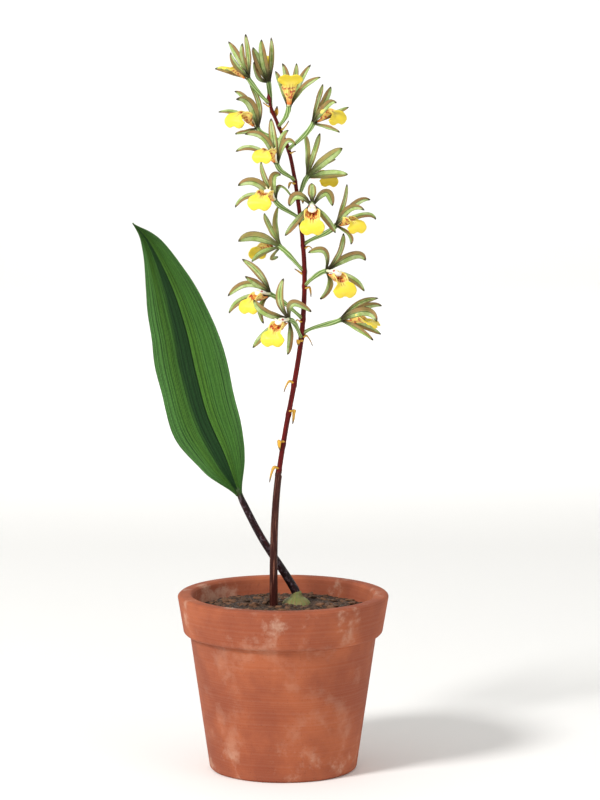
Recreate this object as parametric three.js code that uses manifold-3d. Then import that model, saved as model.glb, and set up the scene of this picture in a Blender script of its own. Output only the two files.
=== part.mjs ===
// A potted Tainia bicornis in flower: a terracotta pot of soil, a pseudobulb with its one pleated leaf,
// and an arched scape with fifteen flowers and a closed bud at its tip.
// Millimetres, +Z up, origin at the middle of the pot's foot. The viewer looks along +Y, and +X is right.
import * as THREE from "three";
import { mergeVertices } from "three/addons/utils/BufferGeometryUtils.js";
import Module from "manifold-3d";

const wasm = await Module();
wasm.setup();

// Clearance kept between pieces that touch
const GAP = 0.3;

// Pot
const POT_HEIGHT = 93;
const POT_FOOT_RADIUS = 38.5;
const POT_TOP_RADIUS = 55.2;
const POT_RIM_HEIGHT = 21;
const POT_RIM_STEP = 3.2;
const POT_WALL = 4.6;
const POT_FLOOR = 7;
const POT_SIDES = 40;
const POT_BEVEL = 1.2;
const DRAIN_COUNT = 3;
const DRAIN_RADIUS = 4;
const DRAIN_RING_RADIUS = 20;

// Soil
const SOIL_HEIGHT = 84;
const SOIL_MOUND = 2.4;
const SOIL_LUMP = 0.7;
const HOLE_CLEARANCE = 0.35;
const HOLE_HEIGHT = 30;
const HOLE_SIDES = 16;

// Pseudobulb: its place, and its outline as [radius, height]
const BULB_AT = [7, 8];
const BULB_OUTLINE = [
  [4.6, 62],
  [7, 65.5],
  [8.2, 71],
  [8.4, 78],
  [8.1, 83],
  [7.4, 86.2],
  [5.6, 88.3],
  [2.8, 89.4],
];
const BULB_RADIUS = 8.4;
const BULB_SIDES = 12;

// Leaf: petiole line from the pseudobulb to the blade, then midrib line to the tip, and half widths
// of the blade left and right of the midrib at even steps from its base
const PETIOLE_LINE = [
  [7, 8, 90.1],
  [6.6, 8, 92],
  [3.6, 8, 97.4],
  [-1.2, 8.2, 105],
  [-10, 8.5, 118.5],
  [-14.8, 9, 127],
  [-22.8, 10, 143],
];
const MIDRIB_LINE = [
  [-22.8, 10, 143],
  [-30.4, 13, 163.5],
  [-39.6, 15, 184.5],
  [-45.6, 15, 207],
  [-51, 12.5, 231.5],
  [-58.5, 8, 255],
  [-70, 2, 278.5],
  [-77.5, -3, 287.5],
];
const BLADE_LEFT = [1.5, 13.5, 18.8, 20.2, 20, 19, 17, 12.3, 5.8, 0.5];
const BLADE_RIGHT = [1.5, 9.5, 15, 16.8, 17.4, 16, 13.1, 9.8, 6.2, 0.5];
const BLADE_COLUMNS = 12;
const BLADE_ROWS = 16;
const BLADE_THICK = 0.9;
const PLEAT_COUNT = 3;
const PLEAT_DEPTH = 0.8;
const BLADE_FOLD = 0.22;
const MARGIN_WAVE = 2.2;
const WAVE_TURNS = 26;
const PETIOLE_FOOT_RADIUS = 2.5;
const PETIOLE_TOP_RADIUS = 1.8;
const PETIOLE_SIDES = 8;

// Scape: line from inside the soil to the tip, and the heights where its parts begin
const SCAPE_LINE = [
  [-5, 0, 66],
  [-5, 0, 84],
  [-5, 0, 111],
  [-4.4, 0.5, 131.5],
  [-2.8, 1, 152],
  [0.8, 1.5, 176],
  [5.6, 2, 202],
  [9.4, 2, 226.5],
  [11, 1.5, 250],
  [10.9, 1, 268],
  [8.8, 0.5, 291],
  [5.6, 0, 313],
  [2.8, 0, 325.5],
  [-2.6, -0.5, 338.5],
  [-6.4, -1, 348],
  [-7.7, -1, 354.6],
];
const SCAPE_SIDES = 8;
const SCAPE_STEPS = 30;
const SHEATH_FOOT_RADIUS = 2.2;
const SHEATH_TOP = 157;
const SHEATH_RADIUS = 1.75;
const STALK_RADIUS = 1.35;
const RACHIS_FOOT = 225;
const RACHIS_TIP_RADIUS = 0.85;
const BUD_FOOT = 349.5;
const BUD_RADIUS = 1.25;

// Bracts on the scape: [height of the foot, tip measured from the foot, width]
const BRACT_ROWS = 3;
const STEM_BRACTS = [
  [159, [-5.2, -1, -7.5], 3.6],
  [173, [-2, -1.6, -4.6], 2.8],
  [189, [1.8, -1, -7], 2.6],
  [204, [-5.6, -0.8, -5.4], 3],
];

// Flowers, from the tip of the rachis down. Each has the height where it leaves the rachis, its hub, and
// the way it faces: turn is degrees towards +X, tilt is degrees up, roll is degrees about its own axis.
// open is how far it has opened, from 0 to 1, and size is that of its lip and column.
// Each tepal is [point halfway, tip, width], both points from the hub, in the order dorsal sepal, near
// petal, far petal, near sepal, far sepal. The bract's tip is measured from its foot.
const FLOWERS = [
  {
    height: 350.5, hub: [-17.5, -6, 362.5], turn: -66, tilt: 36, open: 0.25, size: 0.8,
    bract: [-4, -1.5, 2],
    tepals: [
      [[1, 2, 10], [-1.5, 3, 22.5], 3],
      [[-1.5, -6.3, 9.5], [-3, -9.5, 18.5], 3.2],
      [[-4, 4, 9.5], [-10.5, 7, 18.5], 3.2],
      [[-5.5, -7.9, 6.5], [-9, -11, 14], 3],
      [[-9.5, 3, 3], [-17.5, 4, 4.5], 3],
    ],
  },
  {
    height: 345.5, hub: [-7.5, 6, 360], turn: -90, tilt: 80, roll: -90, open: 0.1, size: 0.6,
    bract: [1.4, 2.5, 5],
    tepals: [
      [[1.8, -1.2, 12], [1.5, -1, 23], 2.6],
      [[-5, -5, 9.5], [-8, -5, 18], 4.2],
      [[-2.5, -5.4, 12], [-3.5, -5.5, 22], 3.6],
      [[-5, -4, 1.5], [-7.5, -5, 10.5], 3],
      [[-2, 7, 8], [-4.5, 8.5, 15], 3],
    ],
  },
  {
    height: 338.5, hub: [3, -3, 347.5], turn: 6, tilt: 68, open: 0.12,
    bract: [4.6, -1, 4.6],
    tepals: [
      [[3, 4.5, 11.5], [4, 9, 22], 2.8],
      [[-1, 5.2, 13], [-3.5, 7, 22], 3.2],
      [[5.5, 3.5, 11.5], [11.5, 5, 21.5], 3],
      [[-3.8, 1.6, 10], [-7, 1, 18.5], 2.8],
      [[7.5, -1, 9], [16.5, -2, 15.5], 2.8],
    ],
  },
  {
    height: 329.5, hub: [-13, 2, 336.5], turn: -66, tilt: 52, size: 0.95,
    bract: [-3.4, 2, -2.4],
    tepals: [
      [[1.5, 2.5, 10.5], [-4, 4, 22], 2.8],
      [[-3, -6.5, 12], [-11, -11, 15.5], 4.4],
      [[-4.5, 5, 12], [-12, 9, 18], 3],
      [[-6, -7, -2.8], [-11.5, -10, -2.5], 2.6],
      [[-9, 5, 5.5], [-20.5, 7, 7.5], 2.6],
    ],
  },
  {
    height: 326.5, hub: [15.5, -5, 339.5], turn: 76, tilt: 46, size: 0.9,
    bract: [3.4, -1.6, 0.6],
    tepals: [
      [[1.5, 1.5, 10], [5, 2, 20], 2.6],
      [[6.5, -6, 9], [12, -11, 11], 3.4],
      [[5, 5, 10], [9, 9, 18], 3.4],
      [[7.5, -9.3, -3], [13.5, -12.5, -4], 3],
      [[10, 5, 3.5], [18.5, 8, 7.5], 2.4],
    ],
  },
  {
    height: 310.5, hub: [-3, -10, 319], turn: -42, tilt: 55, size: 0.85,
    bract: [-3.6, -2, -2.6],
    tepals: [
      [[-1.5, 2.5, 12], [-3, 4, 23], 3.8],
      [[2.5, 1.5, 10], [6, 1, 17], 3.4],
      [[-6, 0, 12], [-16.5, -1, 15], 3.4],
      [[5, -2, 10], [9.5, -3, 9.5], 3],
      [[-11, 0, 6.5], [-21, 0, 6], 3],
    ],
  },
  {
    height: 302, hub: [12.5, 4, 311], turn: 122, tilt: 18, size: 0.85,
    bract: [2.6, 2.6, -2.4],
    tepals: [
      [[2, -2.5, 11], [6.5, -5, 23], 3],
      [[7.5, -4, 8], [18, -8, 15.5], 4.6],
      [[-1, 3, 12], [-1.5, 6, 22], 3.2],
      [[10.5, -2, 1], [21, -4, 1.5], 4],
      [[7, 10, 5.5], [15, 17, 7.5], 3],
    ],
  },
  {
    height: 290.5, hub: [-4, -8, 300], turn: -32, tilt: 30,
    bract: [-3.6, -1, -2.8],
    tepals: [
      [[-5, 1.5, 11.5], [-7, 3, 19.5], 2.6],
      [[-0.5, -1, 10.5], [3, -2, 13], 3.8],
      [[-9, -1, 8.5], [-19, -2, 7.5], 4],
      [[3, 2, 6], [8, 4, 2], 3.4],
      [[-12, 1, 1.5], [-20.5, 2, -4], 2.8],
    ],
  },
  {
    height: 288.5, hub: [15, -11, 298.5], turn: 0, tilt: -22,
    bract: [2.8, -2.6, -2.6],
    tepals: [
      [[0, 4, 5], [0, 8, 9.5], 4],
      [[7, 1.5, 6.5], [10.5, 3, -1.5], 3.8],
      [[-7.5, 1.5, 5], [-11.5, 3, -1.5], 3.8],
      [[8, -1, -8], [12, -2, -15], 3],
      [[-8.5, -1, -9], [-14, -2, -16.5], 3],
    ],
  },
  {
    height: 277, hub: [27.5, 3, 286], turn: 54, tilt: 30, size: 0.85,
    bract: [5, 0.6, -1.4],
    tepals: [
      [[3, 2, 11], [5.5, 3, 21], 2.4],
      [[6, -9.5, 9], [14.5, -13.5, 9], 3.4],
      [[9, 5.5, 10], [17.5, 10, 12], 3],
      [[5.4, -6.8, -4.8], [7.5, -11, -9], 2.6],
      [[13, 5.5, 4], [20.5, 9, 2], 2.6],
    ],
  },
  {
    height: 263.5, hub: [-1.5, 3, 275], turn: -118, tilt: 10, size: 0.85,
    bract: [-5.2, 1.4, 2.4],
    tepals: [
      [[-4.5, 1.5, 10.5], [-8, 3, 17], 3],
      [[-11, -3, 5], [-21.5, -6, 3], 4.8],
      [[-1, 3, 10.5], [-1, 6, 20], 3.2],
      [[-8, -4, -3.5], [-14.5, -7, -7.5], 3],
      [[-2.6, 5.6, -6.6], [-1, 9, -6.5], 3],
    ],
  },
  {
    height: 256, hub: [22.5, -7, 263.5], turn: 44, tilt: -12,
    bract: [3.4, -1, -4.6],
    tepals: [
      [[5.5, 1, 9.5], [8.5, 2, 19], 3.2],
      [[-2, -2, 10.5], [-9.5, -4, 9.5], 3],
      [[12.5, 3, 8], [20, 6, 4.5], 4],
      [[0.5, 0, -7.5], [-3.5, -2, -14.5], 3.4],
      [[11.5, 3, -4], [19.5, 6, -11.5], 3],
    ],
  },
  {
    height: 238.5, hub: [-6.5, -4, 251], turn: -56, tilt: 1, size: 0.9,
    bract: [-3.8, -0.6, -0.6],
    tepals: [
      [[-4, 1, 10], [-14.5, 2, 18], 3.8],
      [[-6.5, -4, 6.5], [-13, -8, 10], 3.6],
      [[-10, 3, 5], [-22, 6, -2], 3.2],
      [[-3.5, 2, -6.5], [-3.5, 0, -15.5], 3],
      [[-12.5, 3, -3], [-21.5, 6, -11], 3],
    ],
  },
  {
    height: 228.5, hub: [3, -13, 239], turn: -38, tilt: -12,
    bract: [-1.4, -3.4, -2.6],
    tepals: [
      [[-3.5, 1.5, 10.5], [-2.5, 3, 20.5], 4],
      [[3, 0, 8.5], [11.5, 0, 3.5], 3.8],
      [[-10.5, -1.5, 4], [-18, -3, 10.5], 4.2],
      [[2, 1.5, -8], [-0.5, 3, -19], 3],
      [[-9.5, 1.5, -6], [-18.5, 3, -15.5], 3.2],
    ],
  },
  {
    height: 230.5, hub: [30, 2, 237], turn: 74, tilt: 6, open: 0.3,
    bract: [5.8, 0.4, -5],
    tepals: [
      [[8, 1, 8], [19.5, 1, 11], 3],
      [[11, -7, 5], [18.5, -10.5, 0], 4.4],
      [[11, 5, 6], [21.5, 8, 6], 3],
      [[7.6, -7, -4.2], [16.5, -9, -10], 3],
      [[10, 5, -4], [21, 8, -9], 3],
    ],
  },
];
const TEPAL_BOW = 1.6;
const TEPAL_THICK = 0.9;
const TEPAL_CUP = 0.12;
const TEPAL_ROWS = 5;
const TEPAL_TURN = 0.9;
const TEPAL_ROOT = 0.8;
const OVARY_RADIUS = 1.25;
const PEDICEL_RADIUS = 0.8;
const PEDICEL_SIDES = 6;
const PEDICEL_STEPS = 6;
const HUB_RADIUS = 2.1;

// Lip: each row lies a step further along its middle line, which droops by so many degrees in an open
// flower. Each has a half width there, and its sides curl up by so many degrees. The lip widens to two
// side lobes, narrows to a waist, and ends in a round mid lobe with a notch. As far as hang goes, a row
// droops from the level instead of from the flower's own direction, and turns its face to the viewer.
const LIP_ROWS = [
  { step: 0, droop: 0, half: 1.1, curl: 60, hang: 0 },
  { step: 2.5, droop: 20, half: 1.9, curl: 80, hang: 0 },
  { step: 2.4, droop: 10, half: 3.5, curl: 85, hang: 0 },
  { step: 2.4, droop: 0, half: 4.6, curl: 72, hang: 0 },
  { step: 1.8, droop: 4, half: 4.2, curl: 56, hang: 0.1 },
  { step: 1.8, droop: 26, half: 3.4, curl: 26, hang: 0.4 },
  { step: 2.2, droop: 52, half: 5.2, curl: 10, hang: 0.8 },
  { step: 2.7, droop: 74, half: 6.3, curl: 0, hang: 0.9 },
  { step: 2.7, droop: 90, half: 4.4, curl: -12, hang: 0.9 },
];
const LIP_FURL = 10;
const LIP_TWIST = 0.6;
const LIP_FOOT = [2.1, -1.5];
const LIP_COLUMNS = 4;
const LIP_THICK = 0.8;
const LIP_NOTCH = 1.3;

// Column, in the flower's own directions: its arched line as [ahead, above], and the anther cap with its
// two horns
const COLUMN_LINE = [
  [2.4, 0.3],
  [5, 1.1],
  [7.6, 1.1],
  [9.8, -0.1],
];
const COLUMN_FOOT_RADIUS = 0.9;
const COLUMN_TOP_RADIUS = 1.8;
const COLUMN_SIDES = 6;
const COLUMN_STEPS = 5;
const HORN_LENGTH = 1.5;
const HORN_RADIUS = 0.5;
const HORN_SPREAD = 0.7;

// Colours, roughness
const TERRACOTTA = ["#b5653f", 0.9];
const EARTH = ["#3b2a1f", 1];
const BULB_GREEN = ["#6d7a3c", 0.6];
const LEAF_GREEN = ["#4e7d43", 0.6];
const SCAPE_RED = ["#7a2a26", 0.5];
const TEPAL_OLIVE = ["#9a8f4a", 0.55];
const LIP_YELLOW = ["#f0cc2e", 0.5];
const COLUMN_CREAM = ["#f3ecc8", 0.45];

const UP = new THREE.Vector3(0, 0, 1);
const point = (p) => new THREE.Vector3(p[0], p[1], p[2]);
const lineThrough = (points) => new THREE.CatmullRomCurve3(points.map(point), false, "centripetal");
const mix = THREE.MathUtils.lerp;
const radians = THREE.MathUtils.degToRad;

// Closed geometry as a solid that can be joined and cut
function solidOf(geometry) {
  const bare = geometry.clone();
  bare.deleteAttribute("normal");
  bare.deleteAttribute("uv");
  const merged = mergeVertices(bare, 1e-4);
  const mesh = new wasm.Mesh({
    numProp: 3,
    vertProperties: merged.attributes.position.array,
    triVerts: new Uint32Array(merged.index.array),
  });
  return new wasm.Manifold(mesh);
}

function geometryOf(solid) {
  const mesh = solid.getMesh();
  const geometry = new THREE.BufferGeometry();
  geometry.setAttribute("position", new THREE.BufferAttribute(mesh.vertProperties, mesh.numProp));
  geometry.setIndex(new THREE.BufferAttribute(mesh.triVerts, 1));
  geometry.computeVertexNormals();
  return geometry;
}

// Closed geometries as one. Where tepals seal a small hollow between them it is filled, by keeping only
// the outer surface.
function joined(geometries) {
  const surfaces = geometries.map(solidOf).reduce((a, b) => a.add(b)).decompose();
  return geometryOf(surfaces.reduce((a, b) => (a.volume() > b.volume() ? a : b)));
}

// Value of an evenly spaced list at a share of its length
function along(list, share) {
  const place = share * (list.length - 1);
  const step = Math.min(Math.floor(place), list.length - 2);
  return mix(list[step], list[step + 1], place - step);
}

// Round stem along a curve, with a radius for each share of its length
function stem(curve, radiusAt, sides, steps) {
  const body = new THREE.CylinderGeometry(1, 1, 1, sides, steps);
  const frames = curve.computeFrenetFrames(steps, false);
  const place = body.attributes.position;
  for (let i = 0; i < place.count; i++) {
    const share = place.getY(i) + 0.5;
    const step = Math.round(share * steps);
    const radius = radiusAt(share);
    const at = curve.getPointAt(share);
    at.addScaledVector(frames.normals[step], place.getX(i) * radius);
    at.addScaledVector(frames.binormals[step], -place.getZ(i) * radius);
    place.setXYZ(i, at.x, at.y, at.z);
  }
  return body;
}

// Thin closed blade: a grid whose thickness fades to nothing at its edge, with the same triangles on
// both faces. place(u, v) gives a point, the way its front faces and the thickness there.
function blade(columns, rows, place) {
  const vertices = [];
  const front = [];
  const back = [];
  for (let j = 0; j <= rows; j++) {
    for (let i = 0; i <= columns; i++) {
      const { at, normal, thick } = place(i / columns, j / rows);
      const edge = i === 0 || i === columns || j === 0 || j === rows;
      const half = edge ? 0 : thick / 2;
      front.push(vertices.length);
      vertices.push(at.clone().addScaledVector(normal, half));
      if (!edge) vertices.push(at.clone().addScaledVector(normal, -half));
      back.push(vertices.length - 1);
    }
  }
  const faces = [];
  const add = (a, b, c) => {
    faces.push(front[a], front[b], front[c]);
    faces.push(back[a], back[c], back[b]);
  };
  for (let j = 0; j < rows; j++) {
    for (let i = 0; i < columns; i++) {
      const a = j * (columns + 1) + i;
      const d = a + columns + 1;
      if (i < columns / 2 === j < rows / 2) {
        add(a, a + 1, d + 1);
        add(a, d + 1, d);
      } else {
        add(a, a + 1, d);
        add(a + 1, d + 1, d);
      }
    }
  }
  const geometry = new THREE.BufferGeometry().setFromPoints(vertices);
  geometry.setIndex(faces);
  return geometry;
}

// Directions across and out of a blade at even steps of its middle line, turned as little as possible
// from the across direction that it starts with
function bladeFrames(curve, startAcross, rows) {
  const SUBSTEPS = 4;
  const frames = [];
  let across = startAcross.clone();
  for (let k = 0; k <= rows * SUBSTEPS; k++) {
    const tangent = curve.getTangent(k / (rows * SUBSTEPS));
    across = across.clone().addScaledVector(tangent, -across.dot(tangent)).normalize();
    if (k % SUBSTEPS === 0) frames.push({ across, normal: across.clone().cross(tangent) });
  }
  return frames;
}

// Narrow pointed blade along a curve, widest before its middle, slightly hollow on its front
function narrowBlade(curve, startAcross, width, rows) {
  const frames = bladeFrames(curve, startAcross, rows);
  return blade(2, rows, (u, v) => {
    const { across, normal } = frames[Math.round(v * rows)];
    const half = (width / 2) * Math.sin(Math.PI * (0.14 + 0.83 * v ** 1.2)) ** 0.8;
    const side = 2 * u - 1;
    const at = curve.getPoint(v).addScaledVector(across, side * half);
    at.addScaledVector(normal, side * side * width * TEPAL_CUP);
    return { at, normal, thick: TEPAL_THICK };
  });
}

// Pot: a tapered wall with a thick rim, on a floor with drainage holes
const potSlope = (POT_TOP_RADIUS - POT_RIM_STEP - POT_FOOT_RADIUS) / POT_HEIGHT;
const potOuter = (height) => POT_FOOT_RADIUS + potSlope * height;
const potInner = (height) => potOuter(height) - POT_WALL;

function potGeometry() {
  const rimFoot = POT_HEIGHT - POT_RIM_HEIGHT;
  const profile = [
    [0, 0],
    [POT_FOOT_RADIUS - POT_BEVEL, 0],
    [potOuter(POT_BEVEL), POT_BEVEL],
    [potOuter(rimFoot), rimFoot],
    [potOuter(rimFoot) + POT_RIM_STEP - POT_BEVEL, rimFoot],
    [potOuter(rimFoot) + POT_RIM_STEP, rimFoot + POT_BEVEL],
    [POT_TOP_RADIUS, POT_HEIGHT - POT_BEVEL],
    [POT_TOP_RADIUS - POT_BEVEL, POT_HEIGHT],
    [potInner(POT_HEIGHT) + POT_BEVEL, POT_HEIGHT],
    [potInner(POT_HEIGHT), POT_HEIGHT - POT_BEVEL],
    [potInner(POT_FLOOR), POT_FLOOR],
    [0, POT_FLOOR],
  ];
  const wall = latheUp(profile.map(([r, z]) => new THREE.Vector2(r, z)), POT_SIDES);
  let pot = solidOf(wall);
  for (let k = 0; k < DRAIN_COUNT; k++) {
    const drain = new THREE.CylinderGeometry(DRAIN_RADIUS, DRAIN_RADIUS, POT_FLOOR * 3, 12);
    drain.rotateX(Math.PI / 2);
    const angle = (2 * Math.PI * (k + 0.25)) / DRAIN_COUNT;
    drain.translate(DRAIN_RING_RADIUS * Math.cos(angle), DRAIN_RING_RADIUS * Math.sin(angle), 0);
    pot = pot.subtract(solidOf(drain));
  }
  return geometryOf(pot);
}

// Lathe about +Z instead of +Y
function latheUp(profile, sides) {
  return new THREE.LatheGeometry(profile, sides).rotateX(Math.PI / 2);
}

// Soil: fills the pot, with an uneven mounded top and a plain hole for each thing that stands in it
const soilLumps = (x, y) =>
  Math.sin(x * 0.31 + 1) * Math.cos(y * 0.37) + 0.6 * Math.sin(x * 0.73 - y * 0.59);

function soilGeometry() {
  const bottom = POT_FLOOR + GAP;
  const edge = potInner(SOIL_HEIGHT) - GAP * 1.2;
  const profile = [
    [0, bottom],
    [potInner(bottom) - GAP * 1.2, bottom],
    [edge, SOIL_HEIGHT],
    [edge * 0.82, SOIL_HEIGHT + SOIL_MOUND * 0.3],
    [edge * 0.62, SOIL_HEIGHT + SOIL_MOUND * 0.6],
    [edge * 0.4, SOIL_HEIGHT + SOIL_MOUND * 0.85],
    [edge * 0.2, SOIL_HEIGHT + SOIL_MOUND],
    [0, SOIL_HEIGHT + SOIL_MOUND],
  ];
  const mound = latheUp(profile.map(([r, z]) => new THREE.Vector2(r, z)), POT_SIDES);
  const place = mound.attributes.position;
  for (let i = 0; i < place.count; i++) {
    const [x, y, z] = [place.getX(i), place.getY(i), place.getZ(i)];
    if (z > SOIL_HEIGHT + 0.1) place.setZ(i, z + SOIL_LUMP * soilLumps(x, y));
  }
  const [scapeX, scapeY, scapeFoot] = SCAPE_LINE[0];
  const scapeHole = holeAt(scapeX, scapeY, scapeFoot, SHEATH_FOOT_RADIUS);
  const bulbHole = holeAt(BULB_AT[0], BULB_AT[1], BULB_OUTLINE[0][1], BULB_RADIUS);
  return geometryOf(solidOf(mound).subtract(scapeHole).subtract(bulbHole));
}

// Upright hole that clears a round thing standing in the soil
function holeAt(x, y, foot, radius) {
  const wide = radius + HOLE_CLEARANCE;
  const hole = new THREE.CylinderGeometry(wide, wide, HOLE_HEIGHT, HOLE_SIDES).rotateX(Math.PI / 2);
  return solidOf(hole.translate(x, y, foot - HOLE_CLEARANCE + HOLE_HEIGHT / 2));
}

// Pseudobulb: round, nearly buried, with the crown that bears the leaf just above the soil
function bulbGeometry() {
  const profile = [[0, BULB_OUTLINE[0][1]], ...BULB_OUTLINE, [0, BULB_OUTLINE.at(-1)[1]]];
  const bulb = latheUp(profile.map(([r, z]) => new THREE.Vector2(r, z)), BULB_SIDES);
  return bulb.translate(BULB_AT[0], BULB_AT[1], 0);
}

// Leaf: the petiole and the blade grew as one. The blade is pleated lengthwise, folded a little along
// its midrib, and waved along its left margin near the base.
function leafGeometry() {
  const petiole = stem(
    lineThrough(PETIOLE_LINE),
    (share) => mix(PETIOLE_FOOT_RADIUS, PETIOLE_TOP_RADIUS, share ** 0.5),
    PETIOLE_SIDES,
    14,
  );
  const midrib = lineThrough(MIDRIB_LINE);
  const ribAlong = lineThrough([PETIOLE_LINE.at(-2), ...MIDRIB_LINE.slice(0, -1)]);
  const rib = stem(ribAlong, (share) => mix(PETIOLE_TOP_RADIUS, 0.6, share ** 0.6), 6, 14);
  const surface = blade(BLADE_COLUMNS, BLADE_ROWS, (u, v) => {
    const tangent = midrib.getTangentAt(v);
    const across = tangent.clone().cross(new THREE.Vector3(0, -1, 0)).normalize();
    const normal = across.clone().cross(tangent);
    const side = 2 * u - 1;
    const half = along(side < 0 ? BLADE_LEFT : BLADE_RIGHT, v);
    const reach = Math.abs(side) * half;
    const pleat = PLEAT_DEPTH * Math.cos(Math.PI * PLEAT_COUNT * Math.abs(side));
    const wavy = side < 0 ? 1 - v : 0.3;
    const wave = MARGIN_WAVE * wavy * Math.abs(side) ** 3 * Math.sin(v * WAVE_TURNS);
    const at = midrib.getPointAt(v).addScaledVector(across, Math.sign(side) * reach);
    at.addScaledVector(normal, reach * BLADE_FOLD + wave + pleat * Math.min(1, half / 8));
    return { at, normal, thick: BLADE_THICK };
  });
  return joined([petiole, rib, surface]);
}

// Scape and rachis: a sheath at the foot, a slimmer stalk, a tapering rachis and the closed bud
const scapeCurve = lineThrough(SCAPE_LINE);

function scapeRadius(height) {
  if (height < SHEATH_TOP) {
    const share = (height - SOIL_HEIGHT) / (SHEATH_TOP - SOIL_HEIGHT);
    return mix(SHEATH_FOOT_RADIUS, SHEATH_RADIUS, Math.max(0, share));
  }
  if (height < RACHIS_FOOT) return STALK_RADIUS;
  if (height < BUD_FOOT) {
    return mix(STALK_RADIUS, RACHIS_TIP_RADIUS, (height - RACHIS_FOOT) / (BUD_FOOT - RACHIS_FOOT));
  }
  const share = (height - BUD_FOOT) / (SCAPE_LINE.at(-1)[2] - BUD_FOOT);
  return Math.max(0.15, BUD_RADIUS * Math.sin(Math.PI * (0.25 + 0.75 * share)));
}

// Share of the scape's length at a height
function shareAt(height) {
  let low = 0;
  let high = 1;
  for (let k = 0; k < 30; k++) {
    const middle = (low + high) / 2;
    if (scapeCurve.getPointAt(middle).z < height) low = middle;
    else high = middle;
  }
  return (low + high) / 2;
}

const scapePoint = (height) => scapeCurve.getPointAt(shareAt(height));

// A bract: a small pointed blade that leaves the scape upwards and bends over to its tip
function bractGeometry(foot, tip, width) {
  const root = scapePoint(foot);
  const end = root.clone().add(point(tip));
  const out = new THREE.Vector3(tip[0], tip[1], 0).normalize();
  const bend = root.clone().addScaledVector(out, 3).addScaledVector(UP, tip[2] > 0 ? 1 : 2.2);
  const curve = new THREE.QuadraticBezierCurve3(root, bend, end);
  return narrowBlade(curve, curve.getTangent(0).cross(UP).negate().normalize(), width, BRACT_ROWS);
}

function scapeGeometry() {
  const stalk = stem(
    scapeCurve,
    (share) => scapeRadius(scapeCurve.getPointAt(share).z),
    SCAPE_SIDES,
    SCAPE_STEPS,
  );
  const bracts = STEM_BRACTS.map(([foot, tip, width]) => bractGeometry(foot, tip, width));
  for (const { height, bract } of FLOWERS) bracts.push(bractGeometry(height - 2.6, bract, 2.4));
  return joined([stalk, ...bracts]);
}

// Directions of a flower: the way it faces, its own up, and its side
function flowerFrame({ hub, turn, tilt, roll = 0 }) {
  const a = radians(turn);
  const e = radians(tilt);
  const forward = new THREE.Vector3(Math.sin(a) * Math.cos(e), -Math.cos(a) * Math.cos(e), Math.sin(e));
  const up = UP.clone().addScaledVector(forward, -forward.z).normalize();
  up.applyAxisAngle(forward, radians(roll));
  return { hub: point(hub), forward, up, side: up.clone().cross(forward) };
}

const inFlower = (frame, ahead, above) =>
  frame.hub.clone().addScaledVector(frame.forward, ahead).addScaledVector(frame.up, above);

// Sepals, petals, ovary and pedicel, joined where they meet
function bloomGeometry(flower) {
  const frame = flowerFrame(flower);
  const showing = frame.forward.clone();
  showing.y += TEPAL_TURN * (showing.y > 0.1 ? 1 : -1);
  showing.normalize();
  const tepals = flower.tepals.map(([halfway, end, width]) => {
    const tip = point(end);
    const bend = point(halfway).addScaledVector(frame.forward, TEPAL_BOW);
    const control = bend.multiplyScalar(2).addScaledVector(tip, -0.5);
    const outward = tip.clone().addScaledVector(showing, -tip.dot(showing)).normalize();
    const root = tip.clone().addScaledVector(frame.forward, -tip.dot(frame.forward)).setLength(TEPAL_ROOT);
    const curve = new THREE.QuadraticBezierCurve3(
      root.add(frame.hub),
      control.add(frame.hub),
      tip.add(frame.hub),
    );
    return narrowBlade(curve, outward.cross(showing), width * 1.15, TEPAL_ROWS);
  });
  const joint = scapePoint(flower.height);
  const out = frame.hub.clone().sub(joint).setZ(0).normalize();
  const leave = out.clone().multiplyScalar(0.6).addScaledVector(UP, 0.8);
  const foot = joint.clone().addScaledVector(out, scapeRadius(flower.height) + GAP + PEDICEL_RADIUS * 1.1);
  const span = foot.distanceTo(frame.hub);
  const pedicel = stem(
    new THREE.CubicBezierCurve3(
      foot,
      foot.clone().addScaledVector(leave, span * 0.3),
      inFlower(frame, -span * 0.3, -span * 0.12),
      inFlower(frame, -0.4, -0.2),
    ),
    (share) => mix(PEDICEL_RADIUS, OVARY_RADIUS, Math.sin(Math.PI * share ** 1.6 * 0.75)),
    PEDICEL_SIDES,
    PEDICEL_STEPS,
  );
  const heart = new THREE.SphereGeometry(HUB_RADIUS, 7, 4);
  heart.translate(frame.hub.x, frame.hub.y, frame.hub.z);
  return joined([pedicel, heart, ...tepals]);
}

function lipGeometry(flower) {
  const frame = flowerFrame(flower);
  const { tilt, open = 1, size = 1 } = flower;
  const level = new THREE.Vector3(Math.sign(frame.side.x), 0, 0);
  let [ahead, above] = LIP_FOOT;
  const line = LIP_ROWS.map(({ step, droop, hang }) => {
    const angle = radians((droop + tilt * hang) * open);
    ahead += step * size * Math.cos(angle);
    above -= step * size * Math.sin(angle);
    return inFlower(frame, ahead, above);
  });
  const rows = LIP_ROWS.length - 1;
  return blade(LIP_COLUMNS, rows, (u, v) => {
    const row = Math.round(v * rows);
    const before = line[Math.max(row - 1, 0)];
    const tangent = line[Math.min(row + 1, rows)].clone().sub(before).normalize();
    const { half, curl, hang } = LIP_ROWS[row];
    const across = frame.side.clone().lerp(level, hang * LIP_TWIST * open);
    across.addScaledVector(tangent, -across.dot(tangent)).normalize();
    const normal = across.clone().cross(tangent);
    const turned = radians(curl + LIP_FURL * (1 - open) || 1e-3);
    const bend = turned * (2 * u - 1);
    const at = line[row].clone();
    const reach = (half * size) / turned;
    at.addScaledVector(across, reach * Math.sin(bend));
    at.addScaledVector(normal, -reach * (1 - Math.cos(bend)));
    if (row === rows) at.addScaledVector(tangent, -LIP_NOTCH * size * (1 - Math.abs(2 * u - 1)) ** 2);
    normal.multiplyScalar(Math.cos(bend)).addScaledVector(across, Math.sin(bend));
    return { at, normal, thick: LIP_THICK };
  });
}

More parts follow.
